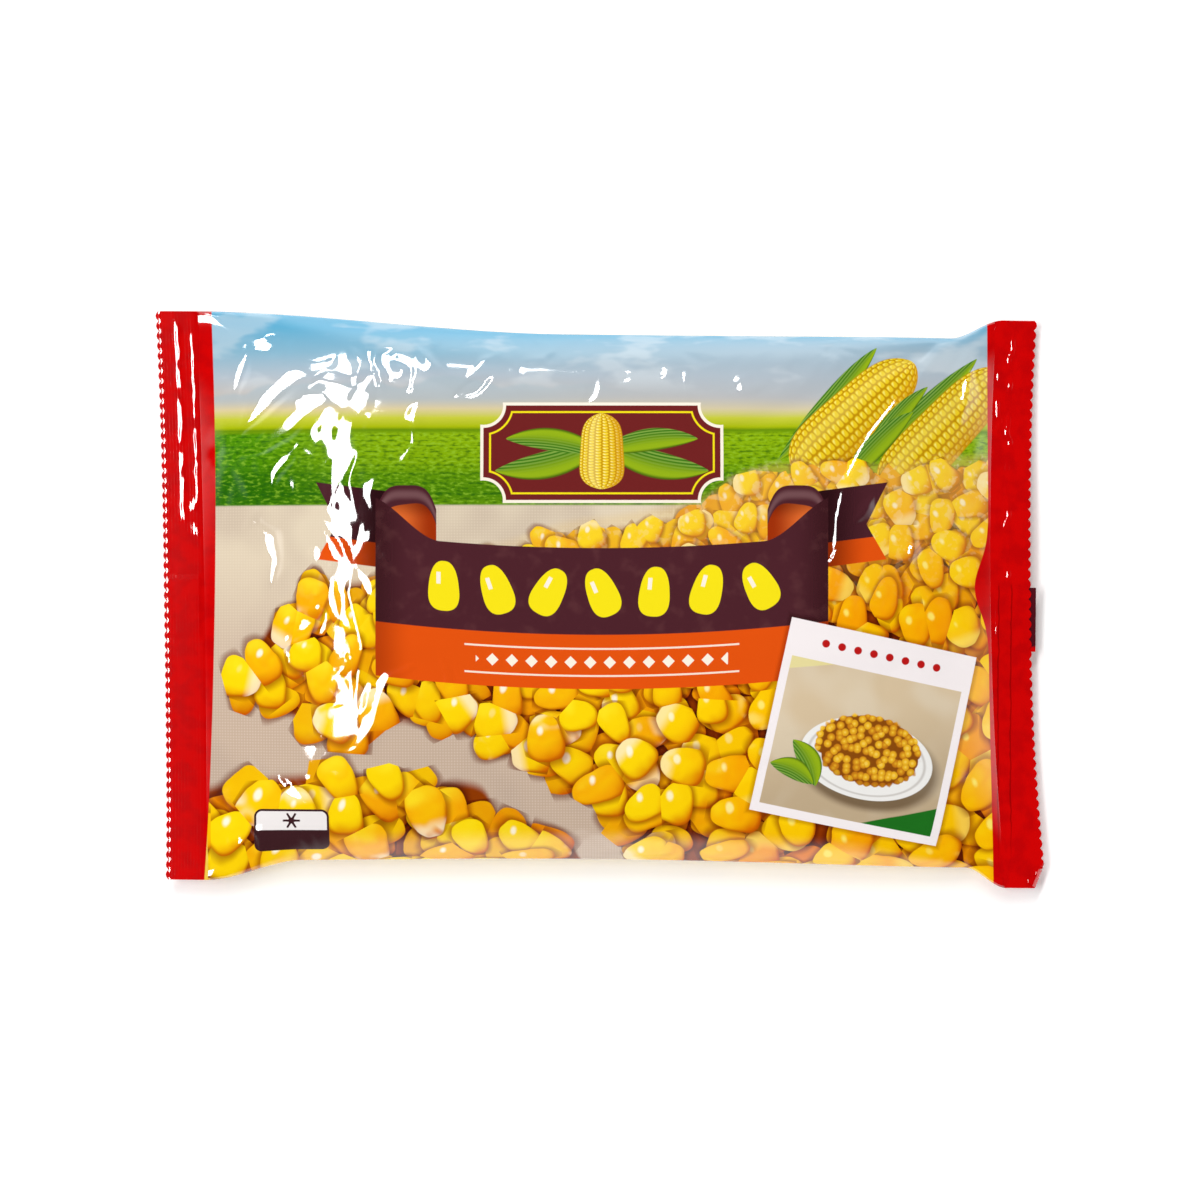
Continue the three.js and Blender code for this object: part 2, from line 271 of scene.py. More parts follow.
CREASES = [
    crease([(-94.6, 68), (-89, 68), (-85.5, 66), (-83, 63.5)], 3.4, 2, 0.3, 0.3),
    crease([(-94.6, 66), (-96.5, 62), (-98, 57), (-97.5, 52)], 2.2, 1.5, 0.5, 0),
    crease([(-71.5, 63.6), (-78, 61.5), (-83, 59), (-89, 54), (-93, 49), (-96.5, 45.5)], 4.2, 2, 0.3, 0.3),
    crease([(-75, 54), (-79, 50.5), (-84, 46), (-91, 41), (-97, 39)], 3.8, 2, 0.6, 0.25),
    crease([(-80, 42), (-83.5, 38.5), (-87.5, 34), (-88, 29)], 2.6, 1.8, 0.2, 0.3),
    crease([(-62, 59), (-64.5, 54.5), (-67.5, 47), (-70, 37), (-71.5, 28), (-74, 22)], 3.0, 2.5, 0.6, 0),
    crease([(-57.5, 63.5), (-54, 60), (-51.5, 56)], 3.6, 2, 0.6, 0.2),
    crease([(-44, 54), (-48.5, 53), (-50, 48), (-49.8, 42), (-53, 36.5), (-57, 33.5)], 2.0, 2, 0, 0.4),
    crease([(-57, 34.5), (-60.5, 32), (-61.5, 28), (-60, 22)], 1.6, 2, 0.3, 0),
    crease([(-75, 21), (-71.5, 14), (-69.5, 10), (-70.5, 7.5)], 2.0, 2, 0.3, 0.3),
    crease([(-70.8, 7.5), (-71.8, 2), (-70.5, -4), (-66, -9)], 1.8, 2, 0.3, 0),
    crease([(-92, 20), (-88.5, 17), (-87, 11), (-88, 2)], 3.2, 2, 0.6, 0.1),
    crease([(-75, -1.5), (-78.5, -6), (-83, -10)], 4.2, 2, 0.5, 0.3),
    crease([(-67.5, -13.5), (-70, -16.5), (-73, -22)], 1.8, 2),
    crease([(-50.5, -17.5), (-56.5, -20.5), (-59, -25), (-61, -33), (-65, -39.5), (-73, -43.5)],
           2.0, 2.5, 0.4, 0),
    crease([(-43, -13), (-41, -21), (-44, -26)], 1.2, 2),
    crease([(-87, -46.5), (-83.5, -50), (-79, -54)], 3.6, 2, 0.2, 0.4),
    crease([(-96, -39), (-91, -43.5), (-88, -47)], 1.0, 1.5, 0, 0, (0.7, 0.7)),
    crease([(-40, 54), (-34, 58), (-28, 60)], 1.0, 2),
    crease([(92, 69), (88, 64), (84, 59), (80, 54.5), (76, 49.5), (72, 44.5), (69, 39.5), (66, 33.5),
            (64, 27.5), (62.8, 21.5), (62.3, 14)], 2.2, 7, 0.7, 0.9),
    crease([(72.5, 28), (69.5, 24), (66.5, 20.5)], 2.0, 3, 0.3, 0.3),
    crease([(99, 61), (97.7, 55), (96.3, 49)], 2.6, 3, 0.5, 0.5),
    crease([(84, 16), (82.5, 10)], 2.2, 2, 0.4, 0.4),
    crease([(-68, 69), (-65, 63), (-66, 55)], 2.0, 2.5, lean=0.16),
    crease([(-60, 68), (-60.5, 62), (-57, 52)], 1.5, 3, lean=0.18),
    crease([(-50, 69), (-46, 62), (-38, 58)], 2.5, 2, lean=0.17),
    crease([(-63, 44), (-66, 34), (-64, 20)], 2.2, 3, facing=(1, 0), lean=0.13),
    crease([(-64, 12), (-66, 2), (-62, -12), (-64, -24), (-65, -38)], 2.4, 3, facing=(1, 0), lean=0.12),
    crease([(-20, 70), (-32, 64), (-38, 56)], 1.0, 6, lean=0.12),
    crease([(20, 33), (14, 26), (12, 17)], 0.5, 5, lean=0.1),
    crease([(-96, -58), (-92, -64), (-91, -71)], 1.2, 3, lean=0.3),
    crease([(99, 73), (95, 62), (96, 48)], 0.9, 5, lean=0.15),
    crease([(101, -62), (97, -68), (99, -75)], 1.0, 3, lean=0.3),
]
CREST_ROUNDING = 0.07
FOOT_ROUNDING = 0.003
CREASE_REACH = 1.6  # of its flank's width, past which a crease is flat


def crease_rise_at(one, x, y):
    """A crease's rise at (x, y), and how far its lit flank is kept clear of other wrinkles.

    Its two flat flanks meet at its line, and narrow towards its ends."""
    best = math.inf
    along = side = lean = 0.0
    count = len(one["points"]) - 1
    for k in range(count):
        ax, ay = one["points"][k]
        bx, by = one["points"][k + 1]
        step_x, step_y = bx - ax, by - ay
        t = clamp01(((x - ax) * step_x + (y - ay) * step_y) / (step_x ** 2 + step_y ** 2))
        off_x, off_y = x - mix(ax, bx, t), y - mix(ay, by, t)
        distance = hypot(off_x, off_y)
        if distance < best:
            best = distance
            along = (k + t) / count
            side = off_x * one["facing"][0] + off_y * one["facing"][1]
            lean = mix(one["leans"][k], one["leans"][k + 1], t)
    opening = opening_of(one["start"], one["end"], along)
    if opening < 0.05:
        return 0.0, 0.0
    share = best / ((one["lit"] if side > 0 else one["gentle"]) * opening)
    if share > CREASE_REACH:
        return 0.0, 0.0
    height = 1 - math.sqrt(share * share + CREST_ROUNDING ** 2)
    rise = lean * one["lit"] * opening * 0.5 * (height + math.sqrt(height * height + FOOT_ROUNDING))
    return rise, smooth((1.5 - share) / 0.4) if one["clear"] else 0.0


def deselect_all():
    bpy.ops.object.select_all(action="DESELECT")


def pick(piece):
    deselect_all()
    piece.select_set(True)
    bpy.context.view_layer.objects.active = piece


def add_grid(name, columns, rows):
    """A flat grid from -1 to 1 both ways, to be shaped point by point."""
    deselect_all()
    bpy.ops.mesh.primitive_grid_add(x_subdivisions=columns, y_subdivisions=rows, size=2)
    grid = bpy.context.object
    grid.name = name
    return grid


def join(pieces, name):
    deselect_all()
    for piece in pieces:
        piece.select_set(True)
    bpy.context.view_layer.objects.active = pieces[0]
    bpy.ops.object.join()
    pieces[0].name = name
    return pieces[0]


def edit_all(piece, *steps):
    """Runs edit-mode steps on all of a piece's mesh."""
    pick(piece)
    bpy.ops.object.mode_set(mode="EDIT")
    bpy.ops.mesh.select_all(action="SELECT")
    for step in steps:
        step()
    bpy.ops.object.mode_set(mode="OBJECT")


def to_metres(piece):
    piece.data.transform(Matrix.Scale(MM, 4))


def numbers(data, name, width):
    out = np.zeros(len(data) * width, np.float32)
    data.foreach_get(name, out)
    return out.reshape(-1, width)


# The film's own map: X along the bag and the way round the tube, in millimetres, spread over 0 to 1
FILM_MAP = "film"
MAP_LENGTH = 250
MAP_GIRTH = 320


def film_place_on_map(x, round_tube):
    return (x / MAP_LENGTH + 0.5, round_tube / MAP_GIRTH + 0.5)


def map_film(piece, place_of_vertex):
    """Gives each corner the place of its vertex on the flat film."""
    layer = piece.data.uv_layers.active
    layer.name = FILM_MAP
    for loop in piece.data.loops:
        layer.uv[loop.index].vector = film_place_on_map(*place_of_vertex[loop.vertex_index])


BODY_COLUMNS = 166
BODY_ROWS = 115
PLACE = "film_place"  # share along the bag, share across it, and 1 on the front or -1 on the back
BACK_BELOW = -0.5  # cutting the front's faces leaves points half way between a seam and the front
ON_BACK = "on_back"


def place_film(sheet, front):
    """Notes each point's place on the film before it is shaped."""
    place = sheet.data.attributes.new(PLACE, "FLOAT_VECTOR", "POINT")
    on_back = sheet.data.attributes.new(ON_BACK, "BOOLEAN", "FACE")
    for face in on_back.data:
        face.value = not front
    for vertex in sheet.data.vertices:
        share = (vertex.co.x + 1) / 2
        v = vertex.co.y
        place.data[vertex.index].vector = (share, v, 1 if front else -1)
        vertex.co = film_point(share, v, front)


def film_sheet(name, front, columns, rows):
    sheet = add_grid(name, columns, rows)
    place_film(sheet, front)
    if not front:
        edit_all(sheet, bpy.ops.mesh.flip_normals)
    return sheet


def film_pouch(name, columns, rows):
    """Front and back film, joined round their edges."""
    pouch = join([film_sheet("front", True, columns, rows), film_sheet("back", False, columns, rows)], name)
    edit_all(pouch, lambda: bpy.ops.mesh.remove_doubles(threshold=0.01))
    return pouch


# Crumpling: the flat film is longer and wider than the filled shape, so pressure from inside buckles it
SIM_COLUMNS = 104
SIM_ROWS = 72
SIM_SCALE = 10.0  # cloth behaves better at a larger size
SIM_FRAMES = 24
SIM_PRESSURE = 1.0
FLAT_LENGTH = 219.5
WRINKLE_GAIN = 0.42
WRINKLE_MOST = 2.0  # millimetres
BLUR_CELLS = 5.0


def add_flat_film(piece, place):
    """The flat film as a shape of its own, whose lengths the cloth keeps."""
    flat = np.zeros_like(place)
    flat[:, 0] = (place[:, 0] - 0.5) * FLAT_LENGTH
    flat[:, 1] = place[:, 1] * FLAT_HALF_WIDTH
    flat[:, 2] = SIDE_HEIGHT
    piece.shape_key_add(name="filled")
    key = piece.shape_key_add(name="flat film")
    key.data.foreach_set("co", (flat * SIM_SCALE * MM).ravel())
    key.value = 0
    return key


def simulate_film(piece, filled, place):
    """Where the film goes under pressure, with its ends held in the seals. Millimetres in and out."""
    piece.data.vertices.foreach_set("co", (filled * SIM_SCALE * MM).ravel())
    flat = add_flat_film(piece, place)
    held = piece.vertex_groups.new(name="held in the seals")
    near = 1e-4
    ends = [i for i, share in enumerate(place[:, 0]) if share < near or share > 1 - near]
    held.add(ends, 1.0, "REPLACE")
    pick(piece)
    bpy.ops.object.modifier_add(type="CLOTH")
    cloth = piece.modifiers[-1]
    film = cloth.settings
    film.quality = 5
    film.mass = 0.3
    film.air_damping = 2
    film.tension_stiffness = film.compression_stiffness = 40
    film.shear_stiffness = 25
    film.bending_stiffness = 0.25
    film.bending_damping = 0.5
    film.tension_damping = film.compression_damping = film.shear_damping = 10
    film.vertex_group_mass = held.name
    film.rest_shape_key = flat
    film.use_pressure = True
    film.uniform_pressure_force = SIM_PRESSURE
    film.effector_weights.gravity = 0
    cloth.point_cache.frame_start = 1
    cloth.point_cache.frame_end = SIM_FRAMES
    scene = bpy.context.scene
    for number in range(1, SIM_FRAMES + 1):
        scene.frame_set(number)
    settled = piece.evaluated_get(bpy.context.evaluated_depsgraph_get())
    after = numbers(settled.data.vertices, "co", 3) / (SIM_SCALE * MM)
    scene.frame_set(1)
    return after


def blurred(cells, axis):
    reach = int(BLUR_CELLS * 3)
    weights = np.exp(-0.5 * (np.arange(-reach, reach + 1) / BLUR_CELLS) ** 2)
    weights /= weights.sum()
    ends = [(0, 0)] * cells.ndim
    ends[axis] = (reach, reach)
    padded = np.pad(cells, ends, mode="edge")
    return np.apply_along_axis(lambda line: np.convolve(line, weights, mode="valid"), axis, padded)


def film_wrinkles():
    """The short waves of a simulated pouch, front and back, as grids of moves over the film.

    The long waves would change the bag's shape, so they are left out."""
    pouch = film_pouch("simulated_pouch", SIM_COLUMNS, SIM_ROWS)
    place = numbers(pouch.data.attributes[PLACE].data, "vector", 3)
    filled = numbers(pouch.data.vertices, "co", 3)
    move = simulate_film(pouch, filled, place) - filled
    bpy.data.objects.remove(pouch)
    column = np.rint(place[:, 0] * SIM_COLUMNS).astype(int)
    row = np.rint((place[:, 1] + 1) / 2 * SIM_ROWS).astype(int)
    edge = (column == 0) | (column == SIM_COLUMNS) | (row == 0) | (row == SIM_ROWS)
    grids = {}
    for side in (1, -1):
        here = (place[:, 2] * side > 0) | edge
        cells = np.zeros((SIM_COLUMNS + 1, SIM_ROWS + 1, 3))
        cells[column[here], row[here]] = move[here]
        short = (cells - blurred(blurred(cells, 0), 1)) * WRINKLE_GAIN
        length = np.linalg.norm(short, axis=2, keepdims=True)
        grids[side] = short * WRINKLE_MOST * np.tanh(length / WRINKLE_MOST) / np.maximum(length, 1e-6)
    return grids


def cubic_weights(t):
    """How much the four nearest cells count, for a place between the middle two."""
    return (
        -0.5 * t + t ** 2 - 0.5 * t ** 3, 1 - 2.5 * t ** 2 + 1.5 * t ** 3,
        0.5 * t + 2 * t ** 2 - 1.5 * t ** 3, -0.5 * t ** 2 + 0.5 * t ** 3,
    )


def read_grid(grid, share_x, share_y):
    """Smoothly read values of a grid at many places at once."""
    columns, rows = grid.shape[0] - 1, grid.shape[1] - 1
    at_x, at_y = share_x * columns, share_y * rows
    first_x = np.clip(np.floor(at_x).astype(int), 0, columns - 1)
    first_y = np.clip(np.floor(at_y).astype(int), 0, rows - 1)
    total = np.zeros((len(share_x), 3))
    for i, weight_x in enumerate(cubic_weights(at_x - first_x)):
        for j, weight_y in enumerate(cubic_weights(at_y - first_y)):
            column = np.clip(first_x + i - 1, 0, columns)
            row = np.clip(first_y + j - 1, 0, rows)
            total += grid[column, row] * (weight_x * weight_y)[:, None]
    return total


# Small creases, strewn over the front with more of them near the ends and the upper side
CRINKLE_COUNT = 200
CRINKLE_SEED = 7
STREWN_X = 104
STREWN_Y = 71
FRONT_CELL = 10.0  # creases are looked up by squares of this size, in millimetres


def crowding(x, y):
    near_left, near_right, near_top = smooth((-x - 45) / 40), smooth((x - 70) / 35), smooth((y - 45) / 20)
    return 0.12 + 0.88 * max(near_left, 0.8 * near_right, 0.7 * near_top)


def small_creases():
    draw = random.Random(CRINKLE_SEED)
    creases = []
    while len(creases) < CRINKLE_COUNT:
        x = draw.uniform(-STREWN_X, STREWN_X)
        y = draw.uniform(-STREWN_Y, STREWN_Y)
        if draw.random() > crowding(x, y):
            continue
        turn = draw.uniform(0, 2 * pi)
        length = draw.uniform(4, 17)
        along = Vector((math.cos(turn), sin(turn)))
        across = Vector((-along.y, along.x))
        middle = Vector((x, y)) + across * draw.uniform(-0.2, 0.2) * length
        points = [Vector((x, y)) - along * length / 2, middle, Vector((x, y)) + along * length / 2]
        facing = across if draw.random() < 0.5 else -across
        lean = draw.choice((-1, 1, 1)) * draw.uniform(0.03, 0.11)
        lit = draw.uniform(0.8, 2.4)
        gentle = lit * draw.uniform(1, 2.5)
        creases.append(crease([tuple(point) for point in points], lit, gentle, 0, 0, facing, lean))
    return creases


def creases_by_square(creases):
    """Which creases reach each square of the plan."""
    squares = {}
    for one in creases:
        reach = CREASE_REACH * max(one["lit"], one["gentle"])
        spans = []
        for places in zip(*one["points"]):
            first = math.floor((min(places) - reach) / FRONT_CELL)
            last = math.floor((max(places) + reach) / FRONT_CELL)
            spans.append(range(first, last + 1))
        for square in itertools.product(*spans):
            squares.setdefault(square, []).append(one)
    return squares


STILL_ENDS = 0.03  # shares of the film, next to its edges, over which the wrinkles come in
STILL_SIDES = 0.07


def wrinkle_moves(place, wrinkles):
    """How far the simulated wrinkles move each point of the film: not at all along its edges."""
    moves = np.zeros(place.shape)
    front = place[:, 2] > BACK_BELOW
    for side, here in ((1, front), (-1, ~front)):
        moves[here] = read_grid(wrinkles[side], place[here, 0], (place[here, 1] + 1) / 2)
    from_end = np.minimum(place[:, 0], 1 - place[:, 0]) / STILL_ENDS
    from_side = (1 - np.abs(place[:, 1])) / STILL_SIDES
    free = np.clip(np.minimum(from_end, from_side), 0, 1)
    return moves * (free * free * (3 - 2 * free))[:, None]


def shape_film(body, wrinkles):
    """Puts every point of the film in its place, with the wrinkles and creases."""
    place = numbers(body.data.attributes[PLACE].data, "vector", 3)
    points = np.array([film_point(share, v, side > BACK_BELOW) for share, v, side in place.tolist()])
    moves = wrinkle_moves(place, wrinkles) if wrinkles else np.zeros(place.shape)
    squares = creases_by_square(CREASES + small_creases())
    for point, move, (share, v, side) in zip(points, moves, place.tolist()):
        if side > BACK_BELOW:
            x, y, z = point.tolist()
            near = squares.get((math.floor(x / FRONT_CELL), math.floor(y / FRONT_CELL)), ())
            rises = [crease_rise_at(one, x, y) for one in near]
            rough = 1 - max((clear for _, clear in rises), default=0)
            rise = sum(rise * (1 if clear else rough) for rise, clear in rises)
            full = fullness(x, v, plan_place(v, x)[1])
            point[2] = z + rise * smooth(full / RELIEF_EASE)
            move *= rough
    points += moves
    points[:, 2] = np.maximum(points[:, 2], 0.02)
    body.data.vertices.foreach_set("co", points.ravel())
    body.data.update()


def map_pouch(body):
    """Each corner's place on the flat film: the back goes on round the tube from the front."""
    body.data.uv_layers.active.name = FILM_MAP
    layer = body.data.uv_layers.active.uv
    place = body.data.attributes[PLACE].data
    on_back = body.data.attributes[ON_BACK].data
    for face in body.data.polygons:
        back = on_back[face.index].value
        middle_v = sum(place[number].vector.y for number in face.vertices)
        for loop, number in zip(face.loop_indices, face.vertices):
            share, v, _ = place[number].vector
            x = mix(left_seal_line(v), right_seal_line(v), share)
            round_tube = FLAT_HALF_WIDTH * v + middle_y(x)
            if back:
                round_tube = math.copysign(2 * FLAT_HALF_WIDTH, middle_v) - FLAT_HALF_WIDTH * v
            layer[loop].vector = film_place_on_map(x, round_tube)


def select_front(body):
    pick(body)
    bpy.ops.object.mode_set(mode="EDIT")
    bpy.ops.mesh.select_mode(type="FACE")
    bpy.ops.mesh.select_all(action="DESELECT")
    bpy.ops.object.mode_set(mode="OBJECT")
    on_back = body.data.attributes[ON_BACK].data
    for face in body.data.polygons:
        face.select = not on_back[face.index].value
    bpy.ops.object.mode_set(mode="EDIT")


def make_body():
    wrinkles = film_wrinkles()
    body = film_pouch("film_body", BODY_COLUMNS, BODY_ROWS)
    select_front(body)
    bpy.ops.mesh.subdivide(number_cuts=1)
    bpy.ops.object.mode_set(mode="OBJECT")
    shape_film(body, wrinkles)
    map_pouch(body)
    to_metres(body)
    pick(body)
    bpy.ops.object.shade_smooth()
    return body


# End seals: fine ribs along the seal, a few long creases, and a serrated cut
SEAL_COLUMNS = 64
TOOTH_ROWS = 4
SEAL_TUCK = 1.0  # how far a seal's inner edge is hidden inside the filled body
FILM_THICKNESS = 0.45
RIB_PITCH = 0.85
RIB_RISE = 0.004
NOTCH_REACH = 1.6  # how far in from the cut its teeth move the film
TOOTH_ROUNDNESS = 0.8
FIN_STEP = 0.16  # how much the fin under it lifts a seal

# Creases along a seal: how far from its cut, how high and wide, over which v, and how far they swing
LEFT_CREASES = [
    {"from_cut": 5.9, "rise": 0.09, "width": 0.6, "reach": (0.25, 0.98), "swing": 0.12},
    {"from_cut": 10.2, "rise": 0.14, "width": 0.6, "reach": (0.28, 0.95), "swing": 0.25},
    {"from_cut": 9.2, "rise": 0.16, "width": 1.0, "reach": (0.2, 0.36), "swing": 0.5},
]
RIGHT_CREASES = [
    {"from_cut": 6.4, "rise": 0.27, "width": 0.6, "reach": (0.02, 0.98), "swing": 0.4},
    {"from_cut": 3.6, "rise": 0.24, "width": 0.6, "reach": (0.78, 0.96), "swing": 0.8},
    {"from_cut": 9.4, "rise": 0.24, "width": 0.6, "reach": (0.5, 0.94), "swing": 0.5},
    {"from_cut": 9.8, "rise": 0.22, "width": 0.7, "reach": (0.1, 0.3), "swing": 0.9},
    {"from_cut": 10.6, "rise": -0.4, "width": 0.8, "reach": (-1.1, 0.02), "swing": 0.1},
]
DASH_WAVES = ((23.0, 0.4), (41.0, 1.9), (67.0, 0.7))  # waves and phase of the gaps in a crease


def dashes(v, offset):
    """A crease's unevenness along the seal, from 0 to 1."""
    wave = sum(sin(waves * v + phase + offset) for waves, phase in DASH_WAVES) / len(DASH_WAVES)
    return smooth(0.62 + 0.9 * wave)


def crease_rise(creases, from_cut, v):
    rise = 0.0
    for number, line in enumerate(creases):
        low, high = line["reach"]
        inside = smooth((v - low) / 0.06) * smooth((high - v) / 0.06)
        wander = line["swing"] * (sin(53 * v + number) + 0.6 * sin(97 * v))
        share = (from_cut - line["from_cut"] - wander) / line["width"]
        rise += line["rise"] * exp(-share * share) * inside * dashes(v, number * 2.1)
    return rise


def fin_lift(x, y):
    """The step that the fin under it makes in a seal."""
    under = smooth((fin_root(x) - y) / 0.5) * smooth((y - fin_root(x) + FIN_WIDTH) / 2.5)
    return FIN_STEP * under


def tooth_depth(v):
    lobe = abs(sin(pi * TOOTH_COUNT * (v + 1) / 2)) ** TOOTH_ROUNDNESS
    return TOOTH_DEPTH * (1 - lobe)


def seal_point(left, share, v, creases):
    outward = -1 if left else 1
    cut = cut_x(LEFT_CUT if left else RIGHT_CUT, v)
    line = (left_seal_line(v) if left else right_seal_line(v)) - outward * SEAL_TUCK
    x = mix(line, cut, share)
    y = plan_place(v, x)[0]
    from_cut = abs(cut - x)
    crimped = smooth((SEAL_WIDTH - from_cut) / 1.0)
    z = rim_height(x, v) + SEAL_THICKNESS / 2
    z += crimped * smooth((from_cut - 0.5) / 1.5) * RIB_RISE * sin(2 * pi * from_cut / RIB_PITCH)
    z += crimped * (crease_rise(creases, from_cut, v) + fin_lift(x, y))
    notched = smooth(1 - from_cut / NOTCH_REACH)
    return Vector((x - outward * tooth_depth(v) * notched, y, z))


# The lower right corner of the seal is turned over along this line, in plan
CORNER_LINE = ((120.5, -69.6), (117.3, -78.2))
CORNER_LIFT = 0.9


def turn_corner(point):
    """Folds what lies beyond the corner line back over the seal."""
    start = Vector(CORNER_LINE[0])
    along = (Vector(CORNER_LINE[1]) - start).normalized()
    outward = Vector((-along.y, along.x))
    beyond = (point.xy - start).dot(outward)
    if beyond <= 0:
        return point
    lift = CORNER_LIFT * smooth(beyond / 1.2)
    folded = point.xy - 2 * beyond * outward
    return Vector((folded.x, folded.y, point.z + lift))


def thicken(piece, on_film):
    """Finishes a flat piece of film: its map, thickness, size and smooth faces."""
    map_film(piece, on_film)
    pick(piece)
    bpy.ops.object.modifier_add(type="SOLIDIFY")
    solidify = piece.modifiers[-1]
    solidify.thickness = FILM_THICKNESS
    solidify.offset = 0
    bpy.ops.object.modifier_apply(modifier=solidify.name)
    to_metres(piece)
    bpy.ops.object.shade_smooth()
    bpy.ops.object.shade_smooth_by_angle(angle=math.radians(50))
    return piece


def make_end_seal(name, left, creases):
    seal = add_grid(name, SEAL_COLUMNS, TOOTH_COUNT * TOOTH_ROWS)
    on_film = {}
    for vertex in seal.data.vertices:
        share = (vertex.co.x + 1) / 2
        v = vertex.co.y
        point = seal_point(left, 1 - share if left else share, v, creases)
        on_film[vertex.index] = (point.x, FLAT_HALF_WIDTH * v + middle_y(point.x))
        vertex.co = point if left else turn_corner(point)
    return thicken(seal, on_film)


FIN_COLUMNS = 150
FIN_ROWS = 12
FIN_WAVE = 0.12
FIN_START_X = -116.9


def make_fin():
    fin = add_grid("fin_seal", FIN_COLUMNS, FIN_ROWS)
    first_x = left_seal_line(0) - SEAL_WIDTH + TOOTH_DEPTH
    last_x = right_seal_line(0) + SEAL_WIDTH - TOOTH_DEPTH
    on_film = {}
    for vertex in fin.data.vertices:
        x = mix(FIN_START_X, FIN_OVERHANG_X, (vertex.co.x + 1) / 2)
        across = (vertex.co.y + 1) / 2
        y = fin_root(x) - FIN_WIDTH * (1 - across)
        height = heights_at(max(min(x, last_x), first_x), y)[0]
        wave = FIN_WAVE * (1 + sin(x * 0.31) * sin(x * 0.083 + 1)) / 2 * (1 - across)
        on_film[vertex.index] = (x, 2 * FLAT_HALF_WIDTH + 2 * across)
        vertex.co = (x, y, max(FIN_THICKNESS / 2, height - FIN_THICKNESS / 2 + RIM_LIFT) - wave * 0.5)
    return thicken(fin, on_film)


body = make_body()
left_seal = make_end_seal("end_seal_left", True, LEFT_CREASES)
right_seal = make_end_seal("end_seal_right", False, RIGHT_CREASES)
fin = make_fin()


# Colours are named by their 0 to 255 values in a picture
def srgb(red, green, blue):
    def linear(level):
        share = level / 255
        return share / 12.92 if share <= 0.04045 else ((share + 0.055) / 1.055) ** 2.4

    return (linear(red), linear(green), linear(blue), 1)


class Signal:
    """A number that changes over the film: arithmetic on it adds Math nodes."""

    def __init__(self, wiring, socket):
        self.wiring = wiring
        self.socket = socket

    def __add__(self, other):
        return self.wiring.math("ADD", self, other)

    def __sub__(self, other):
        return self.wiring.math("SUBTRACT", self, other)

    def __rsub__(self, other):
        return self.wiring.math("SUBTRACT", other, self)

    def __mul__(self, other):
        return self.wiring.math("MULTIPLY", self, other)

    def __truediv__(self, other):
        return self.wiring.math("DIVIDE", self, other)

    def __pow__(self, other):
        return self.wiring.math("POWER", self, other)

    def __abs__(self):
        return self.wiring.math("ABSOLUTE", self)

    __radd__ = __add__
    __rmul__ = __mul__


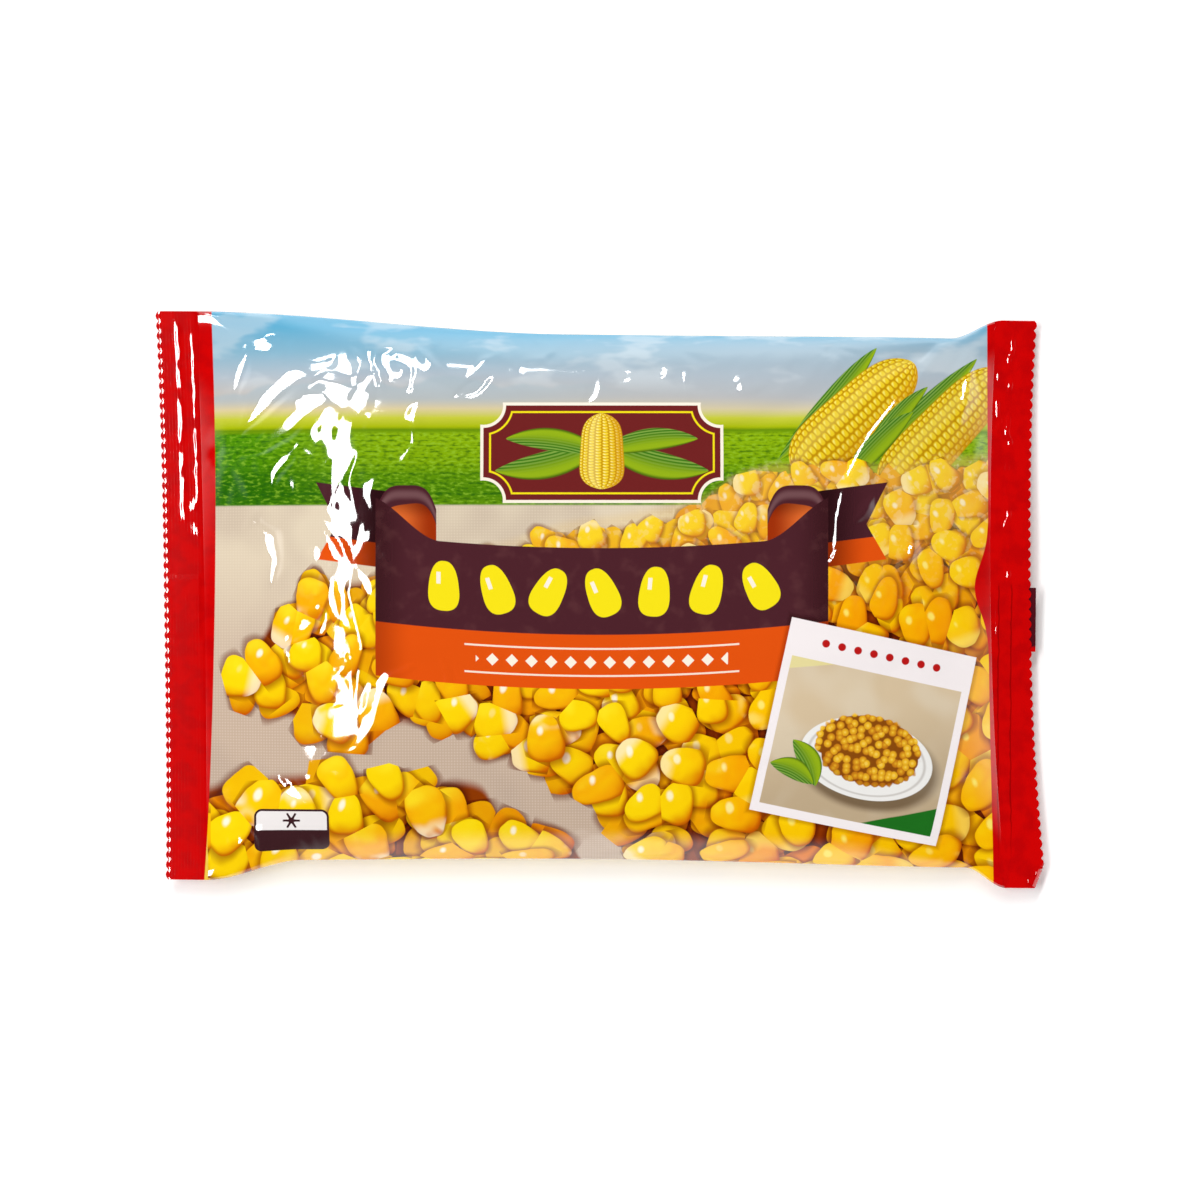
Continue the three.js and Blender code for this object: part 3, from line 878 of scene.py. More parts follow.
class Wiring:
    """Adds nodes to one node tree and joins them up."""

    def __init__(self, tree):
        self.tree = tree

    def node(self, kind, **settings):
        made = self.tree.nodes.new("ShaderNode" + kind)
        for name, value in settings.items():
            setattr(made, name, value)
        return made

    def feed(self, socket, source):
        if isinstance(source, Signal):
            source = source.socket
        if isinstance(source, bpy.types.NodeSocket):
            self.tree.links.new(source, socket)
        else:
            socket.default_value = source

    def fed(self, kind, sources, **settings):
        """A node with its first inputs fed."""
        made = self.node(kind, **settings)
        for socket, source in zip(made.inputs, sources):
            self.feed(socket, source)
        return made.outputs

    def math(self, operation, *sources):
        return Signal(self, self.fed("Math", sources, operation=operation)[0])

    def vector(self, operation, *sources):
        return self.fed("VectorMath", sources, operation=operation)[0]

    def vector_value(self, operation, *sources):
        """A vector operation that gives a number."""
        return Signal(self, self.fed("VectorMath", sources, operation=operation)["Value"])

    def most(self, *sources):
        return self.math("MAXIMUM", *sources)

    def least(self, *sources):
        return self.math("MINIMUM", *sources)

    def distance(self, x, y):
        return self.math("SQRT", x * x + y * y)

    def in_ellipse(self, x, y, width_squared, height_squared):
        """From 0 at an ellipse's middle to 1 on its edge, by the squares of its half width and height."""
        return self.math("SQRT", x * x / width_squared + y * y / height_squared)

    def within(self, steps):
        """Place in each whole step, from -0.5 to 0.5."""
        return steps - self.math("FLOOR", steps) - 0.5

    def ramp(self, value, start, end):
        """From 0 at start to 1 at end, eased; end may be below start."""
        made = self.node("MapRange", interpolation_type="SMOOTHSTEP")
        for name, source in (("Value", value), ("From Min", start), ("From Max", end)):
            self.feed(made.inputs[name], source)
        return Signal(self, made.outputs["Result"])

    def band(self, value, low, high, soft):
        """1 between low and high, with edges of the given softness."""
        return self.ramp(value, low - soft, low + soft) * self.ramp(value, high + soft, high - soft)

    def paint(self, below, above, share, blend="MIX"):
        """One colour laid over another."""
        made = self.node("Mix", data_type="RGBA", blend_type=blend, clamp_factor=True)
        for number, source in ((0, share), (6, below), (7, above)):
            self.feed(made.inputs[number], source)
        return made.outputs[2]

    def tint(self, colour, tone, share):
        return self.paint(colour, tone, share, "MULTIPLY")

    def join(self, x, y):
        return self.fed("CombineXYZ", (x, y))[0]

    def split(self, vector, count=2):
        """The first numbers of a vector or a colour. Separate nodes would fill the renderer's memory."""
        axes = ((1, 0, 0), (0, 1, 0), (0, 0, 1))
        return [self.vector_value("DOT_PRODUCT", vector, axis) for axis in axes[:count]]

    def placed(self, place, centre, turn, half_length, half_width):
        """Place on a shape of its own: -1 to 1 along and across it."""
        made = self.node("Mapping", vector_type="TEXTURE")
        self.feed(made.inputs["Vector"], place)
        made.inputs["Location"].default_value = (*centre, 0)
        made.inputs["Rotation"].default_value = (0, 0, math.radians(turn))
        made.inputs["Scale"].default_value = (half_length, half_width, 1)
        return made.outputs[0]

    def noise(self, place, scale, detail=2.0, stretch=(1, 1, 1)):
        made = self.node("TexNoise", noise_dimensions="2D")
        self.feed(made.inputs["Vector"], self.vector("MULTIPLY", place, stretch))
        made.inputs["Scale"].default_value = scale
        made.inputs["Detail"].default_value = detail
        return Signal(self, made.outputs[0])

    def colours(self, share, stops):
        """A run of colours, each stop a share and a colour."""
        made = self.node("ValToRGB")
        self.feed(made.inputs[0], share)
        elements = made.color_ramp.elements
        while len(elements) < len(stops):
            elements.new(0.5)
        for element, (position, colour) in zip(elements, stops):
            element.position = position
            element.color = colour
        return made.outputs[0]

    def curve(self, value, points, low, high, bottom, top):
        """A drawn curve through the points, from low to high along and bottom to top up."""
        made = self.node("FloatCurve")
        self.feed(made.inputs["Value"], (value - low) / (high - low))
        drawn = made.mapping.curves[0].points
        while len(drawn) < len(points):
            drawn.new(0.5, 0.5)
        for point, (x, y) in zip(drawn, points):
            point.location = ((x - low) / (high - low), (y - bottom) / (top - bottom))
        made.mapping.update()
        return Signal(self, made.outputs[0]) * (top - bottom) + bottom

    def cells(self, place, scale, randomness=1.0):
        """Cells about scattered points."""
        made = self.node("TexVoronoi", voronoi_dimensions="2D")
        self.feed(made.inputs["Vector"], place)
        made.inputs["Scale"].default_value = scale
        made.inputs["Randomness"].default_value = randomness
        return made.outputs

    def group(self, tree, **sources):
        made = self.node("Group", node_tree=tree)
        for name, source in sources.items():
            self.feed(made.inputs[name.replace("_", " ")], source)
        return made.outputs


SOCKETS = {"number": "NodeSocketFloat", "vector": "NodeSocketVector", "colour": "NodeSocketColor"}


def start_group(name, takes, gives):
    """A node group with its named sockets. Returns its wiring and what comes in."""
    tree = bpy.data.node_groups.new(name, "ShaderNodeTree")
    for label, kind in takes:
        tree.interface.new_socket(label, in_out="INPUT", socket_type=SOCKETS[kind])
    for label, kind in gives:
        tree.interface.new_socket(label, in_out="OUTPUT", socket_type=SOCKETS[kind])
    wiring = Wiring(tree)
    entry = tree.nodes.new("NodeGroupInput")
    sockets = [(entry.outputs[label], kind) for label, kind in takes]
    return wiring, [Signal(wiring, socket) if kind == "number" else socket for socket, kind in sockets]


def end_group(wiring, *results):
    leave = wiring.tree.nodes.new("NodeGroupOutput")
    for socket, result in zip(leave.inputs, results):
        wiring.feed(socket, result)
    return wiring.tree


# Outlines of the two heaps of kernels, in millimetres, and what their curves span along and up the bag
HEAP_SPAN = (-110, 110, -95, 60)
HEAP_END = -101
HEAP_TOP = [
    (-101, -27), (-93.5, -11), (-82.7, 2.3), (-72, 7.1), (-53, 10.3), (-26.4, 15.7), (-10, 21), (6, 23.2),
    (27, 27.8), (38, 34.5), (54, 37), (73, 36.6), (104, 40),
]
HEAP_BOTTOM = [
    (-101, -27), (-83, -35), (-72, -41), (-53, -36.6), (-34.5, -38), (-26.4, -43.3), (-10, -54), (6, -65),
    (13, -78), (110, -90),
]
NEAR_TOP = [
    (-104, -46), (-91, -43.8), (-69, -42.5), (-45, -44.6), (-32, -45.5), (-26.4, -54), (-10, -58),
    (-6, -67.4), (0, -80), (110, -90),
]


def make_heap_group():
    """How far inside the heaps of kernels a place is, in millimetres."""
    w, (place,) = start_group("kernel heaps", [("Place", "vector")], [("Depth", "number")])
    x, y = w.split(place)
    below_top = w.curve(x, HEAP_TOP, *HEAP_SPAN) - y
    above_bottom = y - w.curve(x, HEAP_BOTTOM, *HEAP_SPAN)
    near = w.curve(x, NEAR_TOP, *HEAP_SPAN) - y
    behind_end = x - HEAP_END
    heap = w.least(w.least(below_top, above_bottom), behind_end)
    return end_group(w, w.most(heap, near))


# Kernels get larger towards the lower edge: they are laid out in rings about a far point above the bag
FAR_Y = 175
KERNEL_SHARE = 0.054  # a kernel's pitch as a share of its distance from the far point


def make_kernel_group(name, heap_group, fine):
    """One layer of loose kernels, each lit from the upper left. The lowest layers are left plain."""
    takes = [("Place", "vector"), ("Shift", "vector"), ("Mottle", "number")]
    gives = [("Color", "colour"), ("Cover", "number"), ("Shadow", "number")]
    w, (place, shift, mottle) = start_group(name, takes, gives)
    shifted = w.vector("ADD", place, shift)
    cells = w.cells(shifted, 1, 0.8)
    first, second, third = w.split(cells["Color"], 3)

    # Whether the kernel's middle is in a heap decides on the whole kernel
    round_x, round_y = w.split(w.vector("SUBTRACT", cells["Position"], shift))
    angle = round_x * KERNEL_SHARE
    distance = w.math("EXPONENT", round_y * KERNEL_SHARE)
    middle_x = distance * w.math("SINE", angle)
    middle_height = FAR_Y - distance * w.math("COSINE", angle)
    depth = Signal(w, w.group(heap_group, Place=w.join(middle_x, middle_height))["Depth"])
    there = w.math("GREATER_THAN", depth, distance * KERNEL_SHARE * 0.3)

    offset = w.vector("SUBTRACT", shifted, cells["Position"])
    turned = w.node("VectorRotate", rotation_type="Z_AXIS")
    w.feed(turned.inputs["Vector"], offset)
    w.feed(turned.inputs["Angle"], first * 6.28)
    across, along = w.split(turned.outputs[0])
    length_share = along / (second * 0.15 + 0.44)
    width_share = across / ((third * 0.12 + 0.33) * (1 - length_share * 0.24))
    rim = (abs(width_share) ** 2.7 + abs(length_share) ** 2.7) ** 0.37
    rim = rim + (mottle - 0.5) * 0.16
    cover = w.ramp(rim, 1.02, 0.97) * there
    shadow = w.ramp(rim, 1.4, 0.98) * there

    # Lit from the upper left. Down the picture is up in the rings
    facing = w.vector_value("DOT_PRODUCT", offset, (-1.3, -1.65, 0))
    dome = w.math("SQRT", w.most(1 - rim * rim, 0.0))
    lit = facing * 0.55 + dome * 0.45 + (mottle - 0.5) * 0.5
    warm = w.ramp(second + mottle * 0.5, 0.5, 1.3)
    colour = w.paint(srgb(252, 214, 8), srgb(246, 170, 6), warm)
    colour = w.paint(colour, srgb(212, 104, 0), w.ramp(lit, 0.3, -0.5) * 0.95)
    if fine:
        colour = w.paint(colour, srgb(255, 236, 40), w.ramp(lit, 0.45, 0.95) * 0.75)
        colour = w.paint(colour, srgb(168, 72, 0), w.ramp(rim, 0.8, 1.04) * w.ramp(facing, 0.5, -0.5) * 0.8)

        # A pale dry tip on one end of some kernels, and a small bright spot on most
        tip = w.ramp(length_share, 0.2, 0.7) * w.ramp(third + mottle * 0.5, 0.85, 1.0)
        colour = w.paint(colour, srgb(255, 240, 200), tip * 0.7)
        from_spot = w.vector("MULTIPLY", w.vector("ADD", offset, (0.12, 0.16, 0)), (1.5, 1, 1))
        spot = w.vector_value("LENGTH", from_spot)
        spot = w.ramp(spot + mottle * 0.16, 0.22, 0.12) * w.ramp(first, 0.25, 0.4)
        colour = w.paint(colour, srgb(255, 252, 235), spot * 0.85)
    return end_group(w, colour, cover, shadow)


def make_cob_group():
    """A cob lying along its own place, from -1 to 1, with rows of kernels round it."""
    w, (place,) = start_group("cob", [("Place", "vector")], [("Color", "colour"), ("Cover", "number")])
    along, across = w.split(place)
    outline = (1 - abs(along) ** 5) ** 0.7 * (0.9 - along * 0.1)
    share = across / w.most(outline, 0.02)
    cover = w.ramp(abs(share), 1.03, 0.97) * w.ramp(abs(along), 1.0, 0.985)
    clamped = w.least(w.most(share, -0.98), 0.98)
    round_cob = w.math("ARCSINE", clamped) * 2.9
    row = w.math("FLOOR", round_cob)
    row_place = round_cob - row - 0.5
    step = along * 13 + row * 0.5
    step_place = w.within(step)
    gap = (abs(row_place * 2) ** 3 + abs(step_place * 2) ** 3) ** 0.333
    colour = w.paint(srgb(244, 212, 48), srgb(200, 150, 16), w.ramp(gap, 0.62, 1.0))
    shine = w.ramp(row_place - step_place, -0.05, 0.4) * w.ramp(gap, 0.8, 0.4)
    colour = w.paint(colour, srgb(255, 246, 170), shine)
    colour = w.paint(colour, srgb(206, 140, 14), w.ramp(share, -0.15, -1.1) * 0.75)
    colour = w.paint(colour, srgb(255, 240, 150), w.band(share, 0.25, 0.6, 0.25) * 0.35)
    return end_group(w, colour, cover)


def make_leaf_group():
    """A pointed leaf with ribs along it, bowed by Bend, on its own place from -1 to 1."""
    takes = [("Place", "vector"), ("Bend", "number")]
    w, (place, bend) = start_group("leaf", takes, [("Color", "colour"), ("Cover", "number")])
    along, across = w.split(place)
    bowed = across - along * along * bend
    outline = w.most(1 - along * along, 0.0) ** 0.85
    share = bowed / w.most(outline, 0.02)
    cover = w.ramp(abs(share), 1.06, 0.94) * w.ramp(abs(along), 1.0, 0.98)
    ribs = w.math("SINE", bowed * 26) * 0.5 + 0.5
    colour = w.paint(srgb(146, 176, 24), srgb(48, 112, 16), w.ramp(share, -0.6, 0.7))
    colour = w.paint(colour, srgb(176, 206, 96), ribs * w.ramp(share, -0.5, 0.9) * 0.5)
    colour = w.paint(colour, srgb(22, 74, 14), w.ramp(share, -0.7, -1.0) * 0.8)
    return end_group(w, colour, cover)


# Height up the bag to colour, from the lower edge of the field to the top of the sky
SCENE_LOW = 24
SCENE_HIGH = 76
SKY_AND_FIELD = [
    (24.0, (208, 190, 160)), (25.6, (92, 140, 8)), (28.5, (76, 130, 6)), (33.5, (94, 144, 6)),
    (36.5, (124, 166, 6)), (44.0, (140, 178, 10)), (45.3, (98, 138, 8)), (46.2, (168, 184, 10)),
    (48.6, (196, 200, 60)), (51.0, (216, 200, 152)), (54.0, (196, 186, 176)), (60.0, (176, 188, 198)),
    (66.6, (134, 178, 200)), (74.5, (94, 170, 204)),
]


def draw_sky_and_field(w, place, x, y):
    share = (y - SCENE_LOW) / (SCENE_HIGH - SCENE_LOW)
    stops = []
    for height, tone in SKY_AND_FIELD:
        stops.append(((height - SCENE_LOW) / (SCENE_HIGH - SCENE_LOW), srgb(*tone)))
    colour = w.colours(share, stops)
    hazy = w.ramp(x, -70, 60) * w.ramp(y, 48, 56) * w.ramp(y, 80, 66)
    colour = w.paint(colour, srgb(172, 184, 194), hazy * 0.62)
    cloud = w.ramp(w.noise(place, 0.045, 3.0, (1, 2.2, 1)), 0.5, 0.66) * w.ramp(y, 54, 60)
    colour = w.paint(colour, srgb(226, 232, 234), cloud * 0.32)

    # A far range of hills, and tufts and furrows in the field
    ridge = w.noise(w.join(x, 0.0), 0.035, 3.0) * 17 + 49
    hills = w.ramp(y, ridge + 0.8, ridge - 0.6) * w.ramp(y, 50.5, 54) * w.ramp(x, 30, -40)
    colour = w.paint(colour, srgb(164, 184, 194), hills * 0.55)
    tufts = w.noise(place, 0.55, 4.0, (1, 2.6, 1))
    field = w.band(y, 25.4, 44.6, 0.5)
    colour = w.tint(colour, srgb(150, 208, 200), field * w.ramp(x, -50, -100))
    colour = w.paint(colour, srgb(20, 78, 12), w.ramp(tufts, 0.5, 0.3) * field * 0.5)
    colour = w.paint(colour, srgb(150, 196, 52), w.ramp(tufts, 0.52, 0.72) * field * 0.5)
    furrows = w.ramp(w.math("SINE", w.math("LOGARITHM", 53 - y, 1.13) * 6.28), 0.55, 1.0)
    return w.paint(colour, srgb(28, 92, 16), furrows * field * w.ramp(tufts, 0.65, 0.4) * 0.4)


def draw_linen(w, place, x, y):
    colour = w.paint(srgb(222, 206, 180), srgb(196, 172, 152), w.ramp(y, 22, -30))
    colour = w.paint(colour, srgb(178, 156, 140), w.ramp(w.noise(place, 0.035, 2.0), 0.42, 0.7) * 0.45)
    threads = w.math("SINE", (x + y) * 4.1) * w.math("SINE", (x - y) * 4.1)
    return w.paint(colour, srgb(236, 224, 204), w.ramp(threads, -0.2, 1.0) * 0.3)


# Shift of each layer, how brown it is, and whether it is finely drawn, from the lowest kernels to the highest
KERNEL_LAYERS = [
    ((3.31, 7.17, 0), 0.55, False), ((11.73, 2.41, 0), 0.3, False), ((17.19, 9.63, 0), 0.1, True),
    ((23.7, 4.45, 0), 0.0, True),
]


def add_kernels(w, below, place, x, y, drawings):
    depth = Signal(w, w.group(drawings["heaps"], Place=place)["Depth"])
    colour = w.paint(below, srgb(140, 56, 2), w.ramp(depth, 2.5, 6))
    distance = w.distance(x, FAR_Y - y)
    round_x = w.math("ARCTAN2", x, FAR_Y - y) / KERNEL_SHARE
    round_y = w.math("LOGARITHM", distance, math.e) / KERNEL_SHARE
    in_rings = w.join(round_x, round_y)
    mottle = w.noise(in_rings, 2.3, 1.0)
    for shift, brown, fine in KERNEL_LAYERS:
        drawing = drawings["fine kernels" if fine else "plain kernels"]
        layer = w.group(drawing, Place=in_rings, Shift=shift, Mottle=mottle)
        colour = w.tint(colour, srgb(150, 84, 30), Signal(w, layer["Shadow"]) * 0.7)
        kernel = w.tint(layer["Color"], srgb(214, 120, 50), brown) if brown else layer["Color"]
        colour = w.paint(colour, kernel, layer["Cover"])
    colour = w.tint(colour, srgb(255, 238, 120), w.ramp(x, 0, 50) * w.ramp(y, 34, 4) * w.ramp(depth, -2, 2))
    far = w.ramp(y, -5, 38)
    colour = w.paint(colour, srgb(232, 190, 88), far * w.ramp(depth, -1, 2) * 0.34)
    frost = w.ramp(w.noise(place, 0.42, 2.0), 0.52, 0.66) * far * w.ramp(depth, -2, 3)
    return w.paint(colour, srgb(246, 230, 184), frost * 0.3)


# Centre, turn, half length and half width, and bend, of what stands behind the heap at the upper right
COBS = [((92, 45), 46, 24, 8.4), ((68, 49), 44, 22.5, 8.8)]
COB_LEAVES = [
    ((61.5, 52.5), 50, 21, 3.0, 0.3), ((65, 50.5), 47, 20, 3.6, 0.2), ((87.5, 51.5), 42, 20, 3.0, 0.3),
    ((77.5, 46.5), 52, 15, 2.6, -0.6), ((73.5, 41), 46, 14, 3.0, -0.3),
]


def add_leaves(w, below, place, leaves, leaf_group):
    colour = below
    for centre, turn, half_length, half_width, bend in leaves:
        leaf = w.group(leaf_group, Place=w.placed(place, centre, turn, half_length, half_width), Bend=bend)
        colour = w.paint(colour, leaf["Color"], leaf["Cover"])
    return colour


def add_cobs(w, below, place, drawings):
    colour = add_leaves(w, below, place, COB_LEAVES[:3], drawings["leaf"])
    for centre, turn, half_length, half_width in COBS:
        cob = w.group(drawings["cob"], Place=w.placed(place, centre, turn, half_length, half_width))
        colour = w.paint(colour, w.tint(cob["Color"], srgb(240, 236, 130), 0.7), cob["Cover"])
    return add_leaves(w, colour, place, COB_LEAVES[3:], drawings["leaf"])


BROWN = srgb(76, 34, 42)
ORANGE = srgb(226, 82, 14)
CREAM = srgb(250, 240, 222)
LEMON = srgb(246, 226, 24)
RIBBON_RISE = 0.001  # the ribbon's ends curve up


def ribbon_places(x, y):
    """How far aside of the ribbon's middle, and how high on its curve."""
    aside = abs(x - 0.5)
    return aside, y - aside * aside * RIBBON_RISE


def add_ribbon_ends(w, below, x, y):
    """The ribbon's two ends: a curl behind each end of the band, and a notched tail."""
    aside = ribbon_places(x, y)[0]
    tail_level = y - aside * 0.13
    notch = abs(tail_level - 11) * 0.55
    tail = w.band(tail_level, 1.0, 21.5, 0.12) * w.band(aside, 46, 70.5 + notch, 0.12)
    tail_colour = w.paint(BROWN, ORANGE, w.ramp(tail_level, 7.6, 7.3))
    tail_colour = w.tint(tail_colour, srgb(120, 96, 100), w.ramp(aside, 72, 59) * 0.85)
    colour = w.paint(below, tail_colour, tail)
    from_middle = aside - 52
    squared = from_middle * from_middle
    curl_top = 30.5 - squared * squared * 0.0016
    curl = w.band(aside, 44, 60.1, 0.12) * w.ramp(y - curl_top, 0.15, -0.15) * w.ramp(y, 10, 11)
    inner = w.paint(srgb(158, 48, 8), srgb(238, 116, 50), w.ramp(aside, 45, 56))
    inner = w.tint(inner, srgb(120, 80, 60), w.ramp(y, 21, 26) * 0.6)
    curl_colour = w.paint(inner, BROWN, w.ramp(y - curl_top + from_middle * 0.12, -5.2, -4.9))
    curl_colour = w.paint(curl_colour, srgb(150, 110, 112), w.band(y - curl_top, -3.4, -1.4, 0.9) * 0.4)
    return w.paint(colour, curl_colour, curl)


def add_ribbon_band(w, below, x, y, noise):
    """The ribbon's band across the middle, brown over orange."""
    aside, level = ribbon_places(x, y)
    raised = w.ramp(aside, 43, 62) * 10
    band = w.band(aside, -1, 60.2, 0.12) * w.band(level - raised * w.ramp(level, 0, 10), -23.7, 13.8, 0.12)
    colour = w.paint(BROWN, ORANGE, w.ramp(level, -9.1, -9.4))
    colour = w.tint(colour, srgb(160, 140, 130), w.ramp(aside, 50, 61) * 0.6)
    # Faint paler patches at random over the brown half: painted sheen
    painted_sheen = w.ramp(noise, 0.5, 0.8) * w.ramp(level, -9.5, -9.1)
    colour = w.paint(colour, srgb(150, 96, 92), painted_sheen * 0.09)
    return w.paint(below, colour, band)


def add_kernel_row(w, below, x, y):
    """Seven lemon kernels in a row on the ribbon, over a fine line of beads."""
    level = ribbon_places(x, y)[1]
    step = (x + 48.5) / 14
    number = w.math("FLOOR", step)
    across = (step - number - 0.5) * 14
    lean = w.math("SINE", number * 2.4) * 0.5
    along = level - 2.0
    turned_x = across * w.math("COSINE", lean) + along * w.math("SINE", lean)
    turned_y = along * w.math("COSINE", lean) - across * w.math("SINE", lean)
    half_width = turned_y * -0.11 + 4.0
    size = abs(turned_x / half_width) ** 2.6 + abs(turned_y / 6.6) ** 2.6
    row = w.band(x, -48.4, 49.4, 0.1)
    colour = w.paint(below, LEMON, w.ramp(size, 1.05, 0.95) * row)
    slit = w.ramp(abs(turned_x + 1.4), 0.62, 0.5) * w.band(turned_y, 0.5, 3.6, 0.2)
    colour = w.paint(colour, CREAM, slit * row)
    bead_x = w.within(x / 5.2) * 5.2
    bead_y = level + 16.6
    bead = abs(bead_x) + abs(bead_y)
    beads = w.ramp(bead, 1.75, 1.55) * w.band(x, -33, 34, 0.1)
    colour = w.paint(colour, CREAM, beads)
    line = w.ramp(abs(abs(bead_y) - 3.6), 0.3, 0.2) * w.band(x, -36, 37, 0.1)
    return w.paint(colour, CREAM, line * 0.85)


def rounded_box(w, across, up, half_width, half_height, corner):
    """Distance outside a box with round corners; below 0 inside."""
    beyond_x = w.most(abs(across) - (half_width - corner), 0.0)
    beyond_y = w.most(abs(up) - (half_height - corner), 0.0)
    return w.distance(beyond_x, beyond_y) - corner


PLAQUE_CENTRE = (0.5, 39.2)
PLAQUE_HALF = (31.5, 12.6)
PLAQUE_HOLLOW = 6.0  # radius of its hollow corners
PLAQUE_LEAVES = [
    ((-13, 36.2), 14, 15, 3.6, 0.5), ((14, 36.2), -14, 15, 3.6, 0.5),
    ((-12, 42.6), 172, 13, 3.0, 0.5), ((13, 42.6), 8, 13, 3.0, -0.5),
]


def add_plaque(w, below, place, x, y, drawings):
    """A label with hollow corners: a cob between two leaves."""
    beyond_x = abs(x - PLAQUE_CENTRE[0]) - PLAQUE_HALF[0]
    beyond_y = abs(y - PLAQUE_CENTRE[1]) - PLAQUE_HALF[1]
    edge = w.most(w.most(beyond_x, beyond_y), PLAQUE_HOLLOW - w.distance(beyond_x, beyond_y))
    colour = w.paint(below, CREAM, w.ramp(edge, 0.9, 0.75))
    colour = w.paint(colour, srgb(112, 34, 34), w.ramp(edge, 0.1, -0.05))
    colour = w.paint(colour, LEMON, w.band(edge, -2.0, -1.5, 0.12))
    colour = add_leaves(w, colour, place, PLAQUE_LEAVES, drawings["leaf"])
    cob = w.group(drawings["cob"], Place=w.placed(place, (0.5, 39.6), 90, 10.2, 6.4))
    return w.paint(colour, cob["Color"], cob["Cover"])


CARD_CENTRE = (70.6, -35.7)
CARD_TURN = -12.3
CARD_HALF = (25.8, 26.3)
CARD_LEAVES = [((-13, -10), 128, 7, 3, 0.5), ((-16.5, -13), 165, 6.5, 2.8, 0.5)]


def add_bowl(w, below, place, across, up):
    """A white bowl with a shade under it, heaped with small kernels."""
    bowl_x, bowl_y = across - 2, up + 6.5
    bowl = w.in_ellipse(bowl_x, bowl_y, 330, 118)
    shade = w.ramp(w.in_ellipse(bowl_x - 1, bowl_y + 2, 360, 130), 1.12, 0.9)
    colour = w.tint(below, srgb(130, 112, 90), shade * 0.8)
    colour = w.paint(colour, srgb(240, 238, 234), w.ramp(bowl, 1.01, 0.99))
    colour = w.paint(colour, srgb(196, 190, 184), w.band(bowl, 0.86, 0.9, 0.02) * 0.8)
    heap = w.in_ellipse(bowl_x, bowl_y - 2.4, 226, 92)
    cells = w.cells(place, 0.5)
    far = Signal(w, cells["Distance"])
    tone, = w.split(cells["Color"], 1)
    kernels = w.paint(srgb(238, 184, 40), srgb(198, 122, 22), w.ramp(far + tone * 0.5, 0.3, 0.9))
    kernels = w.paint(kernels, srgb(122, 60, 10), w.ramp(far, 0.45, 0.62) * 0.85)
    kernels = w.paint(kernels, srgb(252, 222, 110), w.ramp(far + tone * 0.3, 0.35, 0.1) * 0.5)
    kernels = w.paint(kernels, srgb(150, 74, 14), w.ramp(heap, 0.8, 1.0) * w.ramp(bowl_y, 3, -5) * 0.6)
    return w.paint(colour, kernels, w.ramp(heap + far * 0.12, 1.04, 1.0))


def add_card(w, below, place, drawings):
    """A white-framed card, tilted, with a bowl of kernels on a table."""
    local = w.placed(place, CARD_CENTRE, CARD_TURN, 1, 1)
    across, up = w.split(local)
    frame_edge = w.most(abs(across) - CARD_HALF[0], abs(up) - CARD_HALF[1])
    colour = w.tint(below, srgb(150, 110, 80), w.ramp(frame_edge, 1.6, 0.2) * 0.5)
    colour = w.paint(colour, srgb(246, 238, 238), w.ramp(frame_edge, 0.08, -0.08))
    picture = w.band(across, -23.6, 23.6, 0.08) * w.band(up, -23.8, 16.4, 0.08)
    cloth = w.paint(srgb(214, 192, 158), srgb(190, 168, 136), w.ramp(up - across * 0.35, 12, -20))
    inside = w.paint(cloth, srgb(236, 230, 214), w.ramp(w.noise(local, 0.06, 1.0), 0.45, 0.7) * 0.25)
    inside = w.paint(inside, srgb(30, 110, 30), w.ramp(up - across * 0.42, -25.4, -25.8))
    inside = w.paint(inside, srgb(236, 226, 150), w.ramp(up - across * 0.3 - 20, -0.2, 0.2) * 0.7)
    inside = add_bowl(w, inside, local, across, up)
    inside = add_leaves(w, inside, local, CARD_LEAVES, drawings["leaf"])
    colour = w.paint(colour, inside, picture)

    # Red beads on the frame's upper margin
    bead = w.distance(w.within(across / 4.4) * 4.4, up - 21.3)
    beads = w.ramp(bead, 1.15, 0.95) * w.band(across, -17.6, 17.6, 0.1)
    return w.paint(colour, srgb(186, 24, 24), beads)


def add_badge(w, below, x, y):
    """A small round-cornered badge with a snow star on its upper half."""
    across, up = x + 82.7, y + 62.2
    edge = rounded_box(w, across, up, 10.2, 6.1, 2.2)
    colour = w.paint(below, srgb(60, 30, 34), w.ramp(edge, 0.1, -0.1))
    colour = w.paint(colour, srgb(238, 232, 230), w.ramp(edge, -0.5, -0.7) * w.ramp(up, 0.1, 0.3))
    star_x, star_y = across, up - 2.9
    reach = w.distance(star_x, star_y)
    turn = w.math("ARCTAN2", star_y, star_x) * 3
    arm = reach * abs(w.math("SINE", turn))
    star = w.ramp(arm, 1.0, 0.7) * w.ramp(reach, 2.5, 2.2)
    return w.paint(colour, srgb(60, 30, 34), star)


LEFT_RED = {"x": -103.5, "bow": -0.00035, "bow_from": 20}
RIGHT_RED = {"x": 104.6, "bulge": -3.8, "bulge_at": 3.4, "bulge_width": 9}


def add_red_ends(w, below, x, y, noise):
    from_bow = y - LEFT_RED["bow_from"]
    left = x - from_bow * from_bow * LEFT_RED["bow"] - LEFT_RED["x"]
    from_bulge = (y - RIGHT_RED["bulge_at"]) / RIGHT_RED["bulge_width"]
    bulge = w.math("EXPONENT", from_bulge * from_bulge * -1) * RIGHT_RED["bulge"]
    right = x - w.most(y * -0.02, 0.0) - bulge - RIGHT_RED["x"]
    red = w.most(w.ramp(left, 0.12, -0.12), w.ramp(right, -0.12, 0.12))
    red_film = w.paint(srgb(207, 1, 2), srgb(192, 0, 3), w.ramp(noise, 0.35, 0.7))
    # Two thin darker lines down the lower part of the right seal: painted shade of the film's folds there
    from_shade_lines = abs(abs(x - 109.6 + noise * 0.8) - 1.7)
    folded = w.ramp(from_shade_lines, 0.3, 0.05) * w.ramp(y, 5, 3) * w.ramp(y, -74, -56)
    red_film = w.tint(red_film, srgb(186, 90, 90), folded * 0.8)
    return w.paint(below, red_film, red)


